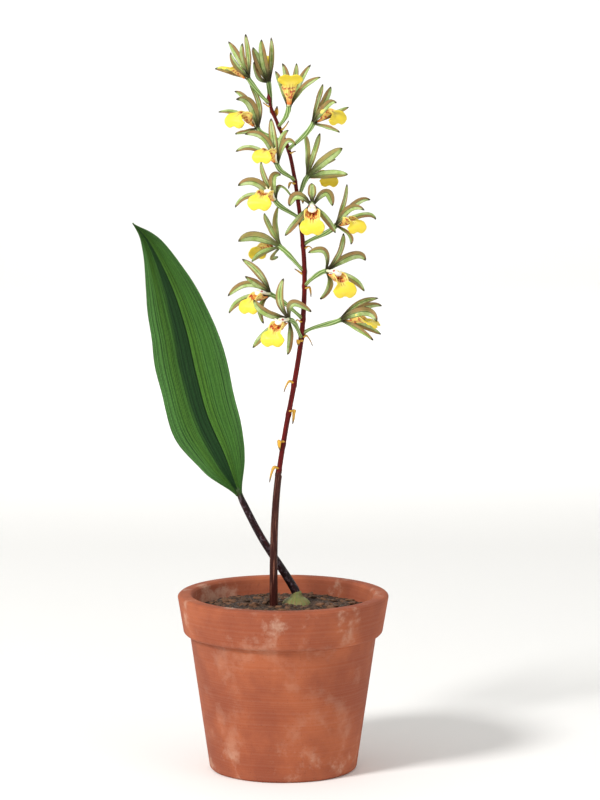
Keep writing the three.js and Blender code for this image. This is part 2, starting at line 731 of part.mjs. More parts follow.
function columnGeometry(flower) {
  const frame = flowerFrame(flower);
  const { size = 1 } = flower;
  const start = COLUMN_LINE[0][0] * (1 - size);
  const curve = new THREE.CatmullRomCurve3(
    COLUMN_LINE.map(([ahead, above]) => inFlower(frame, start + ahead * size, above * size)),
  );
  const top = COLUMN_TOP_RADIUS * size;
  const swell = (share) => mix(COLUMN_FOOT_RADIUS * size, top, Math.min(1, share * 1.3));
  const arch = stem(
    curve,
    (share) => (share > 0.99 ? top * 0.5 : swell(share)),
    COLUMN_SIDES,
    COLUMN_STEPS,
  );
  const capAt = curve.getPoint(0.85);
  const horns = [-1, 1].map((way) => {
    const length = HORN_LENGTH + top;
    const horn = new THREE.ConeGeometry(HORN_RADIUS, length, 3).translate(0, length / 2, 0);
    const aim = frame.up.clone().addScaledVector(frame.forward, 0.5);
    aim.addScaledVector(frame.side, way * 0.5).normalize();
    horn.applyQuaternion(new THREE.Quaternion().setFromUnitVectors(new THREE.Vector3(0, 1, 0), aim));
    const root = capAt.clone().addScaledVector(frame.side, way * HORN_SPREAD);
    return horn.translate(root.x, root.y, root.z);
  });
  return joined([arch, ...horns]);
}

const material = ([color, roughness]) => new THREE.MeshStandardMaterial({ color, roughness, metalness: 0 });
const finishes = {
  pot: material(TERRACOTTA),
  soil: material(EARTH),
  bulb: material(BULB_GREEN),
  leaf: material(LEAF_GREEN),
  scape: material(SCAPE_RED),
  bloom: material(TEPAL_OLIVE),
  lip: material(LIP_YELLOW),
  column: material(COLUMN_CREAM),
};

const plant = new THREE.Group();
plant.name = "potted_tainia_bicornis";

function addPiece(name, geometry, finish) {
  const mesh = new THREE.Mesh(geometry, finish);
  mesh.name = name;
  plant.add(mesh);
}

addPiece("pot", potGeometry(), finishes.pot);
addPiece("soil", soilGeometry(), finishes.soil);
addPiece("pseudobulb", bulbGeometry(), finishes.bulb);
addPiece("leaf", leafGeometry(), finishes.leaf);
addPiece("scape", scapeGeometry(), finishes.scape);
FLOWERS.forEach((flower, index) => {
  const number = String(index + 1).padStart(2, "0");
  addPiece(`bloom_${number}`, bloomGeometry(flower), finishes.bloom);
  addPiece(`lip_${number}`, lipGeometry(flower), finishes.lip);
  addPiece(`column_${number}`, columnGeometry(flower), finishes.column);
});

export default plant;
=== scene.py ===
import bisect
import random
from math import atan2, copysign, cos, exp, hypot, pi, radians, sin, sqrt

import bmesh
import bpy
from mathutils import Matrix, Quaternion, Vector, noise
from mathutils.geometry import interpolate_bezier


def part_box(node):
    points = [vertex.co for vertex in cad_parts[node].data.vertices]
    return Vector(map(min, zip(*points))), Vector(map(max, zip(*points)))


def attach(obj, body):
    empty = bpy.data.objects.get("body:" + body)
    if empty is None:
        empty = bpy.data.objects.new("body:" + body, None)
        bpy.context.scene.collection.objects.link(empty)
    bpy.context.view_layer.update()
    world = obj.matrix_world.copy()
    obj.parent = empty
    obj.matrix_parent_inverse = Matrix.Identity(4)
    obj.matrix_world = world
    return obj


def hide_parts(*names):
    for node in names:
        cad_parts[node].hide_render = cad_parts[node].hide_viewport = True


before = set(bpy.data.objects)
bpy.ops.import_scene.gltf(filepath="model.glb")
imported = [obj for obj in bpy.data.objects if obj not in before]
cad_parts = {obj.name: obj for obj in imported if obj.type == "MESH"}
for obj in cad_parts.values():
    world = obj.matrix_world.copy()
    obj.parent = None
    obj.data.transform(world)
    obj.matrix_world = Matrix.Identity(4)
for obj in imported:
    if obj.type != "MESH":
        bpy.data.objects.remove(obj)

bl_info = {
    "name": "Potted Tainia bicornis",
    "version": (1, 0, 0),
    "blender": (4, 5, 0),
    "location": "3D View > Sidebar > Orchid",
    "description": "Makes the pieces of a potted orchid in flower and their finishes",
    "category": "Add Mesh",
}

MM = 0.001
TURN = 2 * pi
UP = Vector((0, 0, 1))
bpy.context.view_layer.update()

# Pot and soil. The pot's rings have edges shorter than POT_RING_EDGE, and those that turn by more than
# POT_ROUNDED_ANGLE, in radians, are rounded off. Chips are broken and rounded by shares of their length.
RIM_HEIGHT = 21
RIM_STEP = 3.2
POT_FLOOR = 7
POT_BEVEL = 1.2
POT_EDGE_BEVEL = 0.5
POT_ROUNDED_ANGLE = 0.35
POT_RING_EDGE = 5
POT_UNEVEN = 0.2
FOOT_RING = 5
FOOT_RECESS = 1.2
DRAIN_COUNT = 3
DRAIN_RADIUS = 4
DRAIN_RING_RADIUS = 20
GAP = 0.3
SOIL_HEIGHT = 84
SOIL_MOUND = 2.4
SOIL_EDGE = (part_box("soil")[1].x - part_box("soil")[0].x) / 2 / MM
SOIL_FOOT_RADIUS = 34.2
CHIP_SEED = 11
CHIP_LENGTHS = 1.6, 5.2
CHIP_BREAK = 0.13
CHIP_BEVEL = 0.06

# Pseudobulb: its place, its outline as (radius, height) up to the neck that bears the leaf, and how far
# chips keep from it and from the scape
BULB_AT = Vector((7, 8, 0))
BULB_OUTLINE = [
    (0, 62), (4.6, 62), (7, 65.5), (8.2, 71), (8.4, 78), (8.1, 83), (7.4, 86.2), (5.6, 88.3),
    (3.4, 89.6), (2.7, 91), (2.3, 92.5), (0, 93),
]
BULB_CLEARANCE = 9
SCAPE_CLEARANCE = 3

# Leaf: petiole line, midrib line, and half widths left and right of the midrib at even steps
PETIOLE_LINE = [
    (7, 8, 90.1), (6.6, 8, 92), (3.6, 8, 97.4), (-1.2, 8.2, 105), (-10, 8.5, 118.5), (-14.8, 9, 127),
    (-22.8, 10, 143),
]
MIDRIB_LINE = [
    (-22.8, 10, 143), (-30.4, 13, 163.5), (-39.6, 15, 184.5), (-45.6, 15, 207), (-51, 12.5, 231.5),
    (-58.5, 8, 255), (-70, 2, 278.5), (-77.5, -3, 287.5),
]
BLADE_LEFT = [1.5, 13.5, 18.8, 20.2, 20, 19, 17, 12.3, 5.8, 0.3]
BLADE_RIGHT = [1.5, 9.5, 15, 16.8, 17.4, 16, 13.1, 9.8, 6.2, 0.3]
BLADE_FOLD = 0.22
PLEAT_COUNT = 3
WAVE_TURNS = 26
PETIOLE_FOOT_RADIUS = 2.5
PETIOLE_TOP_RADIUS = 1.8

# Scape: line from inside the soil to the tip, and the heights where its parts begin
SCAPE_LINE = [
    (-5, 0, 66), (-5, 0, 84), (-5, 0, 111), (-4.4, 0.5, 131.5), (-2.8, 1, 152), (0.8, 1.5, 176),
    (5.6, 2, 202), (9.4, 2, 226.5), (11, 1.5, 250), (10.9, 1, 268), (8.8, 0.5, 291), (5.6, 0, 313),
    (2.8, 0, 325.5), (-2.6, -0.5, 338.5), (-6.4, -1, 348), (-7.7, -1, 354.6),
]
SHEATH_FOOT_RADIUS = 2.2
SHEATH_TOP = 157
SHEATH_RADIUS = 1.75
STALK_RADIUS = 1.35
RACHIS_FOOT = 225
RACHIS_TIP_RADIUS = 0.85
BUD_FOOT = 349.5
BUD_RADIUS = 1.25

# Bracts on the scape: (height of the foot, tip measured from the foot, width)
STEM_BRACTS = [
    (159, (-5.2, -1, -7.5), 3.6), (173, (-2, -1.6, -4.6), 2.8),
    (189, (1.8, -1, -7), 2.6), (204, (-5.6, -0.8, -5.4), 3),
]
BRACT_THICKNESS = 0.4
FLOWER_BRACT_WIDTH = 2.4
FLOWER_BRACT_DROP = 2.6

# Flowers, from the tip of the rachis down: (height where it leaves the rachis, hub, the way it faces, how
# far it has opened from 0 to 1, size of its lip and column, tip of its bract from the bract's foot, tepals).
# The way it faces is degrees towards +X, degrees up, and degrees about its own axis.
# Each tepal is (point halfway, tip, width), both points from the hub, in the order dorsal sepal, near
# petal, far petal, near sepal, far sepal.
FLOWERS = [
    (350.5, (-17.5, -6, 362.5), (-66, 36, 0), 0.25, 0.8, (-4, -1.5, 2), [
        ((1, 2, 10), (-1.5, 3, 22.5), 3), ((-1.5, -6.3, 9.5), (-3, -9.5, 18.5), 3.2),
        ((-4, 4, 9.5), (-10.5, 7, 18.5), 3.2), ((-5.5, -7.9, 6.5), (-9, -11, 14), 3),
        ((-9.5, 3, 3), (-17.5, 4, 4.5), 3),
    ]),
    (345.5, (-7.5, 6, 360), (-90, 80, -90), 0.1, 0.6, (1.4, 2.5, 5), [
        ((1.8, -1.2, 12), (1.5, -1, 23), 2.6), ((-5, -5, 9.5), (-8, -5, 18), 4.2),
        ((-2.5, -5.4, 12), (-3.5, -5.5, 22), 3.6), ((-5, -4, 1.5), (-7.5, -5, 10.5), 3),
        ((-2, 7, 8), (-4.5, 8.5, 15), 3),
    ]),
    (338.5, (3, -3, 347.5), (6, 68, 0), 0.12, 1, (4.6, -1, 4.6), [
        ((3, 4.5, 11.5), (4, 9, 22), 2.8), ((-1, 5.2, 13), (-3.5, 7, 22), 3.2),
        ((5.5, 3.5, 11.5), (11.5, 5, 21.5), 3), ((-3.8, 1.6, 10), (-7, 1, 18.5), 2.8),
        ((7.5, -1, 9), (16.5, -2, 15.5), 2.8),
    ]),
    (329.5, (-13, 2, 336.5), (-66, 52, 0), 1, 0.95, (-3.4, 2, -2.4), [
        ((1.5, 2.5, 10.5), (-4, 4, 22), 2.8), ((-3, -6.5, 12), (-11, -11, 15.5), 4.4),
        ((-4.5, 5, 12), (-12, 9, 18), 3), ((-6, -7, -2.8), (-11.5, -10, -2.5), 2.6),
        ((-9, 5, 5.5), (-20.5, 7, 7.5), 2.6),
    ]),
    (326.5, (15.5, -5, 339.5), (76, 46, 0), 1, 0.9, (3.4, -1.6, 0.6), [
        ((1.5, 1.5, 10), (5, 2, 20), 2.6), ((6.5, -6, 9), (12, -11, 11), 3.4),
        ((5, 5, 10), (9, 9, 18), 3.4), ((7.5, -9.3, -3), (13.5, -12.5, -4), 3),
        ((10, 5, 3.5), (18.5, 8, 7.5), 2.4),
    ]),
    (310.5, (-3, -10, 319), (-42, 55, 0), 1, 0.85, (-3.6, -2, -2.6), [
        ((-1.5, 2.5, 12), (-3, 4, 23), 3.8), ((2.5, 1.5, 10), (6, 1, 17), 3.4),
        ((-6, 0, 12), (-16.5, -1, 15), 3.4), ((5, -2, 10), (9.5, -3, 9.5), 3),
        ((-11, 0, 6.5), (-21, 0, 6), 3),
    ]),
    (302, (12.5, 4, 311), (122, 18, 0), 1, 0.85, (2.6, 2.6, -2.4), [
        ((2, -2.5, 11), (6.5, -5, 23), 3), ((7.5, -4, 8), (18, -8, 15.5), 4.6),
        ((-1, 3, 12), (-1.5, 6, 22), 3.2), ((10.5, -2, 1), (21, -4, 1.5), 4),
        ((7, 10, 5.5), (15, 17, 7.5), 3),
    ]),
    (290.5, (-4, -8, 300), (-32, 30, 0), 1, 1, (-3.6, -1, -2.8), [
        ((-5, 1.5, 11.5), (-7, 3, 19.5), 2.6), ((-0.5, -1, 10.5), (3, -2, 13), 3.8),
        ((-9, -1, 8.5), (-19, -2, 7.5), 4), ((3, 2, 6), (8, 4, 2), 3.4),
        ((-12, 1, 1.5), (-20.5, 2, -4), 2.8),
    ]),
    (288.5, (15, -11, 298.5), (0, -22, 0), 1, 1, (2.8, -2.6, -2.6), [
        ((0, 4, 5), (0, 8, 9.5), 4), ((7, 1.5, 6.5), (10.5, 3, -1.5), 3.8),
        ((-7.5, 1.5, 5), (-11.5, 3, -1.5), 3.8), ((8, -1, -8), (12, -2, -15), 3),
        ((-8.5, -1, -9), (-14, -2, -16.5), 3),
    ]),
    (277, (27.5, 3, 286), (54, 30, 0), 1, 0.85, (5, 0.6, -1.4), [
        ((3, 2, 11), (5.5, 3, 21), 2.4), ((6, -9.5, 9), (14.5, -13.5, 9), 3.4),
        ((9, 5.5, 10), (17.5, 10, 12), 3), ((5.4, -6.8, -4.8), (7.5, -11, -9), 2.6),
        ((13, 5.5, 4), (20.5, 9, 2), 2.6),
    ]),
    (263.5, (-1.5, 3, 275), (-118, 10, 0), 1, 0.85, (-5.2, 1.4, 2.4), [
        ((-4.5, 1.5, 10.5), (-8, 3, 17), 3), ((-11, -3, 5), (-21.5, -6, 3), 4.8),
        ((-1, 3, 10.5), (-1, 6, 20), 3.2), ((-8, -4, -3.5), (-14.5, -7, -7.5), 3),
        ((-2.6, 5.6, -6.6), (-1, 9, -6.5), 3),
    ]),
    (256, (22.5, -7, 263.5), (44, -12, 0), 1, 1, (3.4, -1, -4.6), [
        ((5.5, 1, 9.5), (8.5, 2, 19), 3.2), ((-2, -2, 10.5), (-9.5, -4, 9.5), 3),
        ((12.5, 3, 8), (20, 6, 4.5), 4), ((0.5, 0, -7.5), (-3.5, -2, -14.5), 3.4),
        ((11.5, 3, -4), (19.5, 6, -11.5), 3),
    ]),
    (238.5, (-6.5, -4, 251), (-56, 1, 0), 1, 0.9, (-3.8, -0.6, -0.6), [
        ((-4, 1, 10), (-14.5, 2, 18), 3.8), ((-6.5, -4, 6.5), (-13, -8, 10), 3.6),
        ((-10, 3, 5), (-22, 6, -2), 3.2), ((-3.5, 2, -6.5), (-3.5, 0, -15.5), 3),
        ((-12.5, 3, -3), (-21.5, 6, -11), 3),
    ]),
    (228.5, (3, -13, 239), (-38, -12, 0), 1, 1, (-1.4, -3.4, -2.6), [
        ((-3.5, 1.5, 10.5), (-2.5, 3, 20.5), 4), ((3, 0, 8.5), (11.5, 0, 3.5), 3.8),
        ((-10.5, -1.5, 4), (-18, -3, 10.5), 4.2), ((2, 1.5, -8), (-0.5, 3, -19), 3),
        ((-9.5, 1.5, -6), (-18.5, 3, -15.5), 3.2),
    ]),
    (230.5, (30, 2, 237), (74, 6, 0), 0.3, 1, (5.8, 0.4, -5), [
        ((8, 1, 8), (19.5, 1, 11), 3), ((11, -7, 5), (18.5, -10.5, 0), 4.4),
        ((11, 5, 6), (21.5, 8, 6), 3), ((7.6, -7, -4.2), (16.5, -9, -10), 3),
        ((10, 5, -4), (21, 8, -9), 3),
    ]),
]
TEPAL_BOW = 1.6
TEPAL_TURN = 0.9
TEPAL_ROOT = 0.8
TEPAL_CUP = 0.12
OVARY_RADIUS = 1.25
PEDICEL_RADIUS = 0.8

# Lip: each row lies a step further along its middle line, which droops by so many degrees. Each has a
# half width there, its sides curl up by so many degrees, and both grow by a share for the side lobes. As
# far as hang goes, a row droops from the level instead of from the flower's own direction, and turns its
# face to the viewer. The rows are (step, droop, half width, curl, hang, share).
LIP_ROWS = [
    (0, 0, 1.1, 60, 0, 0),
    (2.5, 20, 1.9, 80, 0, 0.1),
    (2.4, 10, 3.5, 85, 0, 0.38),
    (2.4, 0, 4.6, 72, 0, 0.38),
    (1.8, 4, 4.2, 56, 0.1, 0.26),
    (1.8, 26, 3.4, 26, 0.4, 0.24),
    (2.2, 52, 5.2, 10, 0.8, 0),
    (2.7, 74, 6.3, 0, 0.9, 0),
    (2.7, 90, 4.4, -12, 0.9, 0),
]
LIP_FURL = 10
LIP_TWIST = 0.6
LIP_FOOT = (2.1, -1.5)
LIP_NOTCH = 1.5
KEEL_COUNT = 3

# Middle lobe of the lip: its half width, and its middle and half length as shares of the lip
LOBE_HALF = 6.5
LOBE_MIDDLE = 0.83
LOBE_REACH = 0.25

# Column, in the flower's own directions: its arched line as (ahead, above), and its two horns
COLUMN_LINE = [(2.4, 0.3), (5, 1.1), (7.6, 1.1), (9.8, -0.1)]
COLUMN_FOOT_RADIUS = 0.9
COLUMN_TOP_RADIUS = 1.8
HORN_LENGTH = 1.5
HORN_RADIUS = 0.5
HORN_SPREAD = 0.7

# Faces around each turned body, across and along each blade, and around and along each stem
POT_SIDES = 128
DRAIN_SIDES = 32
SOIL_SIDES = 160
SOIL_RINGS = 60
BULB_SIDES = 72
BULB_RINGS = 48
LEAF_GRID = 96, 240
BRACT_GRID = 8, 24
TEPAL_GRID = 10, 30
LIP_GRID = 36, 64
PETIOLE_GRID = 24, 160
STALK_GRID = 24, 420
SHEATH_GRID = 32, 160
OVARY_GRID = 36, 44
COLUMN_GRID = 28, 40
HORN_GRID = 10, 10

# Floor and backdrop, in metres: half width, where the floor starts to bend up, and the radius of the bend
FLOOR_REACH = 6
BEND_START = 2.3
BEND_RADIUS = 0.6

# View: degrees above the level, distance in metres, height of the view and what it looks at, in mm
VIEW_TILT = 8
VIEW_DISTANCE = 2.2
VIEW_HEIGHT = 416
VIEW_CENTRE = Vector((8.8, 0, 195))

# Lights, in metres: (name, place, what it shines at, diameter)
LIGHTS = [
    ("key", Vector((-1.3, -1.25, 1.55)), VIEW_CENTRE * MM, 0.55),
    ("fill", Vector((1.5, -1.2, 0.7)), VIEW_CENTRE * MM, 1.4),
    ("wash", Vector((0, 1.2, 1.0)), Vector((0, 2.7, 0.2)), 0.8),
]


def paint(code):
    """Linear colour of a code such as #4e7d43"""
    parts = [int(code[k : k + 2], 16) / 255 for k in (1, 3, 5)]
    return tuple(part / 12.92 if part <= 0.04045 else ((part + 0.055) / 1.055) ** 2.4 for part in parts)


def mix(low, high, share):
    return low + (high - low) * share


def ease(low, high, value):
    """0 up to low, 1 from high on, and smooth between them"""
    share = min(max((value - low) / (high - low), 0.0), 1.0)
    return share * share * (3 - 2 * share)


def bell(value, middle, width, power=2):
    """1 at the middle, and less the further away from it"""
    return exp(-(((value - middle) / width) ** power))


def along(values, share):
    """Smooth value of an evenly spaced list at a share of its length"""
    place = min(max(share, 0.0), 1.0) * (len(values) - 1)
    step = min(int(place), len(values) - 2)
    part = place - step
    a, b, c, d = (values[min(max(step + k, 0), len(values) - 1)] for k in (-1, 0, 1, 2))
    return b + 0.5 * part * (c - a + part * (2 * a - 5 * b + 4 * c - d + part * (3 * (b - c) + d - a)))


def flat(point):
    return Vector((point.x, point.y, 0))


def square_to(way, across):
    """The part of one direction that is square to another, at full length"""
    return (across - way * across.dot(way)).normalized()


class Line:
    """Dense points along a smooth line, read by the share of its length"""

    def __init__(self, points):
        self.points = points
        self.reached = [0.0]
        for near, far in zip(points, points[1:]):
            self.reached.append(self.reached[-1] + (far - near).length)

    def at(self, share):
        reach = min(max(share, 0.0), 1.0) * self.reached[-1]
        step = min(max(bisect.bisect_right(self.reached, reach), 1), len(self.points) - 1)
        low, high = self.reached[step - 1], self.reached[step]
        return self.points[step - 1].lerp(self.points[step], (reach - low) / (high - low))

    def way(self, share):
        return (self.at(share + 0.01) - self.at(share - 0.01)).normalized()

    def frames(self, across, rows):
        """Point, direction, across and out at even steps, turned as little as possible on the way"""
        frames = []
        for row in range(rows + 1):
            way = self.way(row / rows)
            across = square_to(way, across)
            frames.append((self.at(row / rows), way, across, across.cross(way)))
        return frames


def line_through(points):
    """Smooth line through a few points"""
    knots = [Vector(point) for point in points]
    knots = [2 * knots[0] - knots[1], *knots, 2 * knots[-1] - knots[-2]]
    dense = []
    for a, b, c, d in zip(knots, knots[1:], knots[2:], knots[3:]):
        before, between, after = ((far - near).length ** 0.5 for near, far in ((a, b), (b, c), (c, d)))
        leave = ((b - a) / before - (c - a) / (before + between) + (c - b) / between) * between
        arrive = ((c - b) / between - (d - b) / (between + after) + (d - c) / after) * between
        dense += interpolate_bezier(b, b + leave / 3, c - arrive / 3, c, 25)[:-1]
    return Line([*dense, knots[-2]])


def bent_line(start, control, end):
    """Line from start to end, drawn towards one control point"""
    return Line(interpolate_bezier(start, start.lerp(control, 2 / 3), end.lerp(control, 2 / 3), end, 32))


def new_mesh():
    """Empty mesh in mm with a UV map and a tone, a value that tells like parts of a piece apart"""
    mesh = bmesh.new()
    mesh.loops.layers.uv.new("UVMap")
    mesh.verts.layers.float.new("tone")
    return mesh


def add_blade(mesh, columns, frames, thick, place, tone=0.0):
    """Thin closed blade: a front and a back sheet that meet at the rim, with a row of points on each frame.
    place(side, v, *frame) gives a point and the way its front faces, for side from -1 to 1 across and v
    from 0 to 1 along."""
    tones = mesh.verts.layers.float["tone"]
    rows = len(frames) - 1
    rims = []
    for sheet in (1, -1):
        grid = bmesh.ops.create_grid(mesh, x_segments=columns, y_segments=rows, size=0.5, calc_uvs=True)
        for vert in grid["verts"]:
            column, row = round((vert.co.x + 0.5) * columns), round((vert.co.y + 0.5) * rows)
            vert.co, normal = place(2 * (column / columns) - 1, row / rows, *frames[row])
            vert[tones] = tone
            if column in (0, columns) or row in (0, rows):
                rims.append(vert)
            else:
                vert.co += normal * (sheet * thick / 2)
    faces = list({face for vert in grid["verts"] for face in vert.link_faces})
    bmesh.ops.reverse_faces(mesh, faces=faces)
    for face in faces:
        face.material_index = 1
    bmesh.ops.remove_doubles(mesh, verts=rims, dist=1e-4)


def add_stem(mesh, line, across, size, radius_at, squeeze=1.0, tone=0.0):
    """Closed round stem along a line. size is its faces around and along, radius_at(share, turn) is its
    radius, with turn from 0 to 1 around it, and squeeze flattens it."""
    sides, rows = size
    tones = mesh.verts.layers.float["tone"]
    frames = line.frames(across, rows)
    grid = bmesh.ops.create_grid(mesh, x_segments=sides, y_segments=rows + 2, size=0.5, calc_uvs=True)
    for vert in grid["verts"]:
        turn, row = vert.co.x + 0.5, round((vert.co.y + 0.5) * (rows + 2))
        step = min(max(row - 1, 0), rows)
        at, _, side, out = frames[step]
        radius = 0 if row in (0, rows + 2) else radius_at(step / rows, turn)
        angle = TURN * turn
        vert.co = at + side * (radius * cos(angle)) - out * (radius * squeeze * sin(angle))
        vert[tones] = tone
    bmesh.ops.remove_doubles(mesh, verts=grid["verts"], dist=1e-4)


def turn_outline(mesh, outline, steps):
    """Round body turned about +Z from an outline of (radius, height) that starts and ends on the axis"""
    verts = [mesh.verts.new((radius, 0, height)) for radius, height in outline]
    edges = [mesh.edges.new(pair) for pair in zip(verts, verts[1:])]
    bmesh.ops.spin(
        mesh, geom=verts + edges, cent=(0, 0, 0), axis=UP, angle=TURN, steps=steps, use_merge=True,
        use_duplicate=False,
    )
    bmesh.ops.remove_doubles(mesh, verts=mesh.verts, dist=1e-4)
    bmesh.ops.recalc_face_normals(mesh, faces=mesh.faces)


def bevel(mesh, edges, offset, segments, clamp):
    """Rounds edges off. clamp keeps the rounded edges from running into each other."""
    bmesh.ops.bevel(
        mesh, geom=edges, offset=offset, offset_type="OFFSET", segments=segments, profile=0.5,
        affect="EDGES", material=-1, clamp_overlap=clamp,
    )


def new_object(name, mesh):
    """Object in the scene, made of a mesh that is then freed"""
    data = bpy.data.meshes.new(name)
    mesh.to_mesh(data)
    mesh.free()
    made = bpy.data.objects.new(name, data)
    bpy.context.collection.objects.link(made)
    return made


def place_piece(mesh, name, finishes, slot, *nodes):
    """Makes an object of a mesh in mm. It stands for the named solids and rides on the one body."""
    bmesh.ops.scale(mesh, vec=(MM, MM, MM), verts=mesh.verts)
    piece = new_object(name, mesh)
    for finish in finishes:
        piece.data.materials.append(finish)
    piece.data.shade_smooth()
    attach(piece, "root")
    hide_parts(*nodes)
    return piece


def both_ways(operation):
    """The two methods of an operator, for a flow on its left and for one on its right"""

    def straight(flow, value):
        return flow.finish.sum(operation, flow, value)

    def reflected(flow, value):
        return flow.finish.sum(operation, value, flow)

    return straight, reflected


class Flow:
    """Output of a shader node. Sums written on it add Math nodes."""

    __add__, __radd__ = both_ways("ADD")
    __sub__, __rsub__ = both_ways("SUBTRACT")
    __mul__, __rmul__ = both_ways("MULTIPLY")
    __pow__, __rpow__ = both_ways("POWER")

    def __init__(self, finish, socket):
        self.finish = finish
        self.socket = socket

    def __abs__(self):
        return self.finish.sum("ABSOLUTE", self)

    def fold(self):
        """Runs up to 0.5 and back again, over and over"""
        return self.finish.sum("PINGPONG", self, 0.5)

    def rise(self, low, high, start=0.0, end=1.0):
        """start up to low, end from high on, and smooth between them"""
        inputs = {"Value": self, "From Min": low, "From Max": high, "To Min": start, "To Max": end}
        return self.finish.node("ShaderNodeMapRange", {"interpolation_type": "SMOOTHSTEP"}, inputs)

    def fall(self, low, high):
        """1 up to low, 0 from high on, and smooth between them"""
        return self.rise(low, high, 1, 0)

    def nerves(self, count, width):
        """1 on evenly spaced nerves, for a flow that is how far a place is from the midline"""
        return (self * count).fold().fall(width * 0.4, width)

    def parts(self):
        """X, Y and Z of a place"""
        x = self.finish.node("ShaderNodeSeparateXYZ", {}, {"Vector": self})
        return [Flow(self.finish, output) for output in x.socket.node.outputs]


class Finish:
    """A material being made"""

    def __init__(self, name):
        self.material = bpy.data.materials.new(name)
        self.material.use_nodes = True
        self.tree = self.material.node_tree

    def feed(self, node, values):
        """Links flows to a node's sockets, or sets values on them"""
        for name, value in values.items():
            socket = node.inputs[name]
            if isinstance(value, Flow):
                self.tree.links.new(value.socket, socket)
            else:
                socket.default_value = (*value[:3], 1) if socket.type == "RGBA" else value

    def node(self, kind, settings, inputs, output=0):
        """Adds a node with its settings, then the values or links of its sockets"""
        made = self.tree.nodes.new(kind)
        for name, value in settings.items():
            setattr(made, name, value)
        self.feed(made, inputs)
        return Flow(self, made.outputs[output])

    def sum(self, operation, *values):
        return self.node("ShaderNodeMath", {"operation": operation}, dict(enumerate(values)))

    def most(self, value, *others):
        for other in others:
            value = self.sum("MAXIMUM", value, other)
        return value

    def place(self):
        """Place on the piece, in mm"""
        spot = self.node("ShaderNodeTexCoord", {}, {}, "Object")
        return self.node("ShaderNodeMapping", {}, {"Vector": spot, "Scale": (1 / MM, 1 / MM, 1 / MM)})

    def sheet(self):
        """Place across and along a blade or around and along a stem, each from 0 to 1"""
        return self.node("ShaderNodeTexCoord", {}, {}, "UV").parts()[:2]

    def blade(self):
        """Place across a blade from -1 to 1, how far that is from its middle, and place along it"""
        u, v = self.sheet()
        side = u * 2 - 1
        return side, abs(side), v

    def tone(self):
        """The value that tells like parts of a piece apart"""
        return self.node("ShaderNodeAttribute", {"attribute_name": "tone"}, {}, "Fac")

    def spot(self, x, y, z=0.0):
        return self.node("ShaderNodeCombineXYZ", {}, {"X": x, "Y": y, "Z": z})

    def noise(self, spot, scale, detail=2.0, rough=0.5):
        inputs = {"Vector": spot, "Scale": scale, "Detail": detail, "Roughness": rough}
        return self.node("ShaderNodeTexNoise", {}, inputs)

    def streaks(self, x, y, detail=2.0, rough=0.5):
        """Noise over two values"""
        return self.noise(self.spot(x, y), 1.0, detail, rough)

    def cells(self, spot, scale):
        return self.node("ShaderNodeTexVoronoi", {}, {"Vector": spot, "Scale": scale})

    def coats(self, colour, *coats):
        """A colour under coats of (share, colour), from the lowest up"""
        for share, over in coats:
            colour = self.node("ShaderNodeMix", {"data_type": "RGBA"}, {0: share, 6: colour, 7: over}, 2)
        return colour

    def done(self, colour, rough, relief=None, depth=0.0, gloss=0.5):
        """Feeds the shader and gives the material. The relief is a height from 0 to 1, depth mm deep."""
        sockets = {"Base Color": colour, "Roughness": rough, "Specular IOR Level": gloss}
        if relief is not None:
            inputs = {"Strength": 1.0, "Distance": depth * MM, "Height": relief}
            sockets["Normal"] = self.node("ShaderNodeBump", {}, inputs)
        self.feed(self.tree.nodes["Principled BSDF"], sockets)
        return self.material


def colour_setting(name, description, code):
    return bpy.props.FloatVectorProperty(
        name=name, description=description, subtype="COLOR", size=3, min=0, max=1, default=paint(code),
    )


def length_setting(name, description, default):
    return bpy.props.FloatProperty(
        name=name, description=description, unit="LENGTH", min=0, precision=4, default=default,
    )


def light_setting(name, description, default):
    return bpy.props.FloatProperty(name=name, description=description, min=0, default=default)


class PotSettings(bpy.types.PropertyGroup):
    height: length_setting("Height", "Height of the pot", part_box("pot")[1].z)
    top_radius: length_setting("Top radius", "Outer radius of the rim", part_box("pot")[1].x)
    foot_radius: length_setting("Foot radius", "Outer radius of the foot", 0.0385)
    wall: length_setting("Wall", "Thickness of the wall", 0.0046)
    clay: colour_setting("Clay", "Colour of the fired clay", "#ab5a35")
    scorch: colour_setting("Scorch", "Darker patches of the clay", "#8f4529")
    salts: colour_setting("Salts", "Pale bloom on the clay", "#d9b9a0")


class SoilSettings(bpy.types.PropertyGroup):
    chips: bpy.props.IntProperty(name="Chips", description="Number of bark chips", min=0, default=420)
    earth: colour_setting("Earth", "Colour of the damp soil", "#33231a")
    crumb: colour_setting("Crumb", "Colour of the drier crumbs", "#6b4e37")
    bark: colour_setting("Bark", "Colour of the bark chips", "#7a5236")
    bulb: colour_setting("Pseudobulb", "Green of the pseudobulb", "#6f7c3b")
    fibre: colour_setting("Fibre", "Dry fibres on the pseudobulb", "#8a6a44")


class LeafSettings(bpy.types.PropertyGroup):
    thickness: length_setting("Thickness", "Thickness of the blade", 0.0006)
    pleat: length_setting("Pleat", "Depth of the main pleats", 0.0008)
    wave: length_setting("Wave", "Height of the waves of the margin", 0.0022)
    green: colour_setting("Green", "Main green of the blade", "#4b7c2e")
    # Deep green, also used as painted shade in the band left of the midrib
    deep: colour_setting("Deep green", "Band left of the midrib", "#123716")
    warm: colour_setting("Warm green", "Band right of the midrib", "#54842a")
    margin: colour_setting("Margin", "Paler green near the margins", "#578a45")
    nerve: colour_setting("Nerve", "Nerves of the blade", "#0a1f0c")
    petiole: colour_setting("Petiole", "Dark stalk of the leaf", "#1c0b0d")
    mottle: colour_setting("Mottle", "Pale mottles of the petiole", "#74666f")


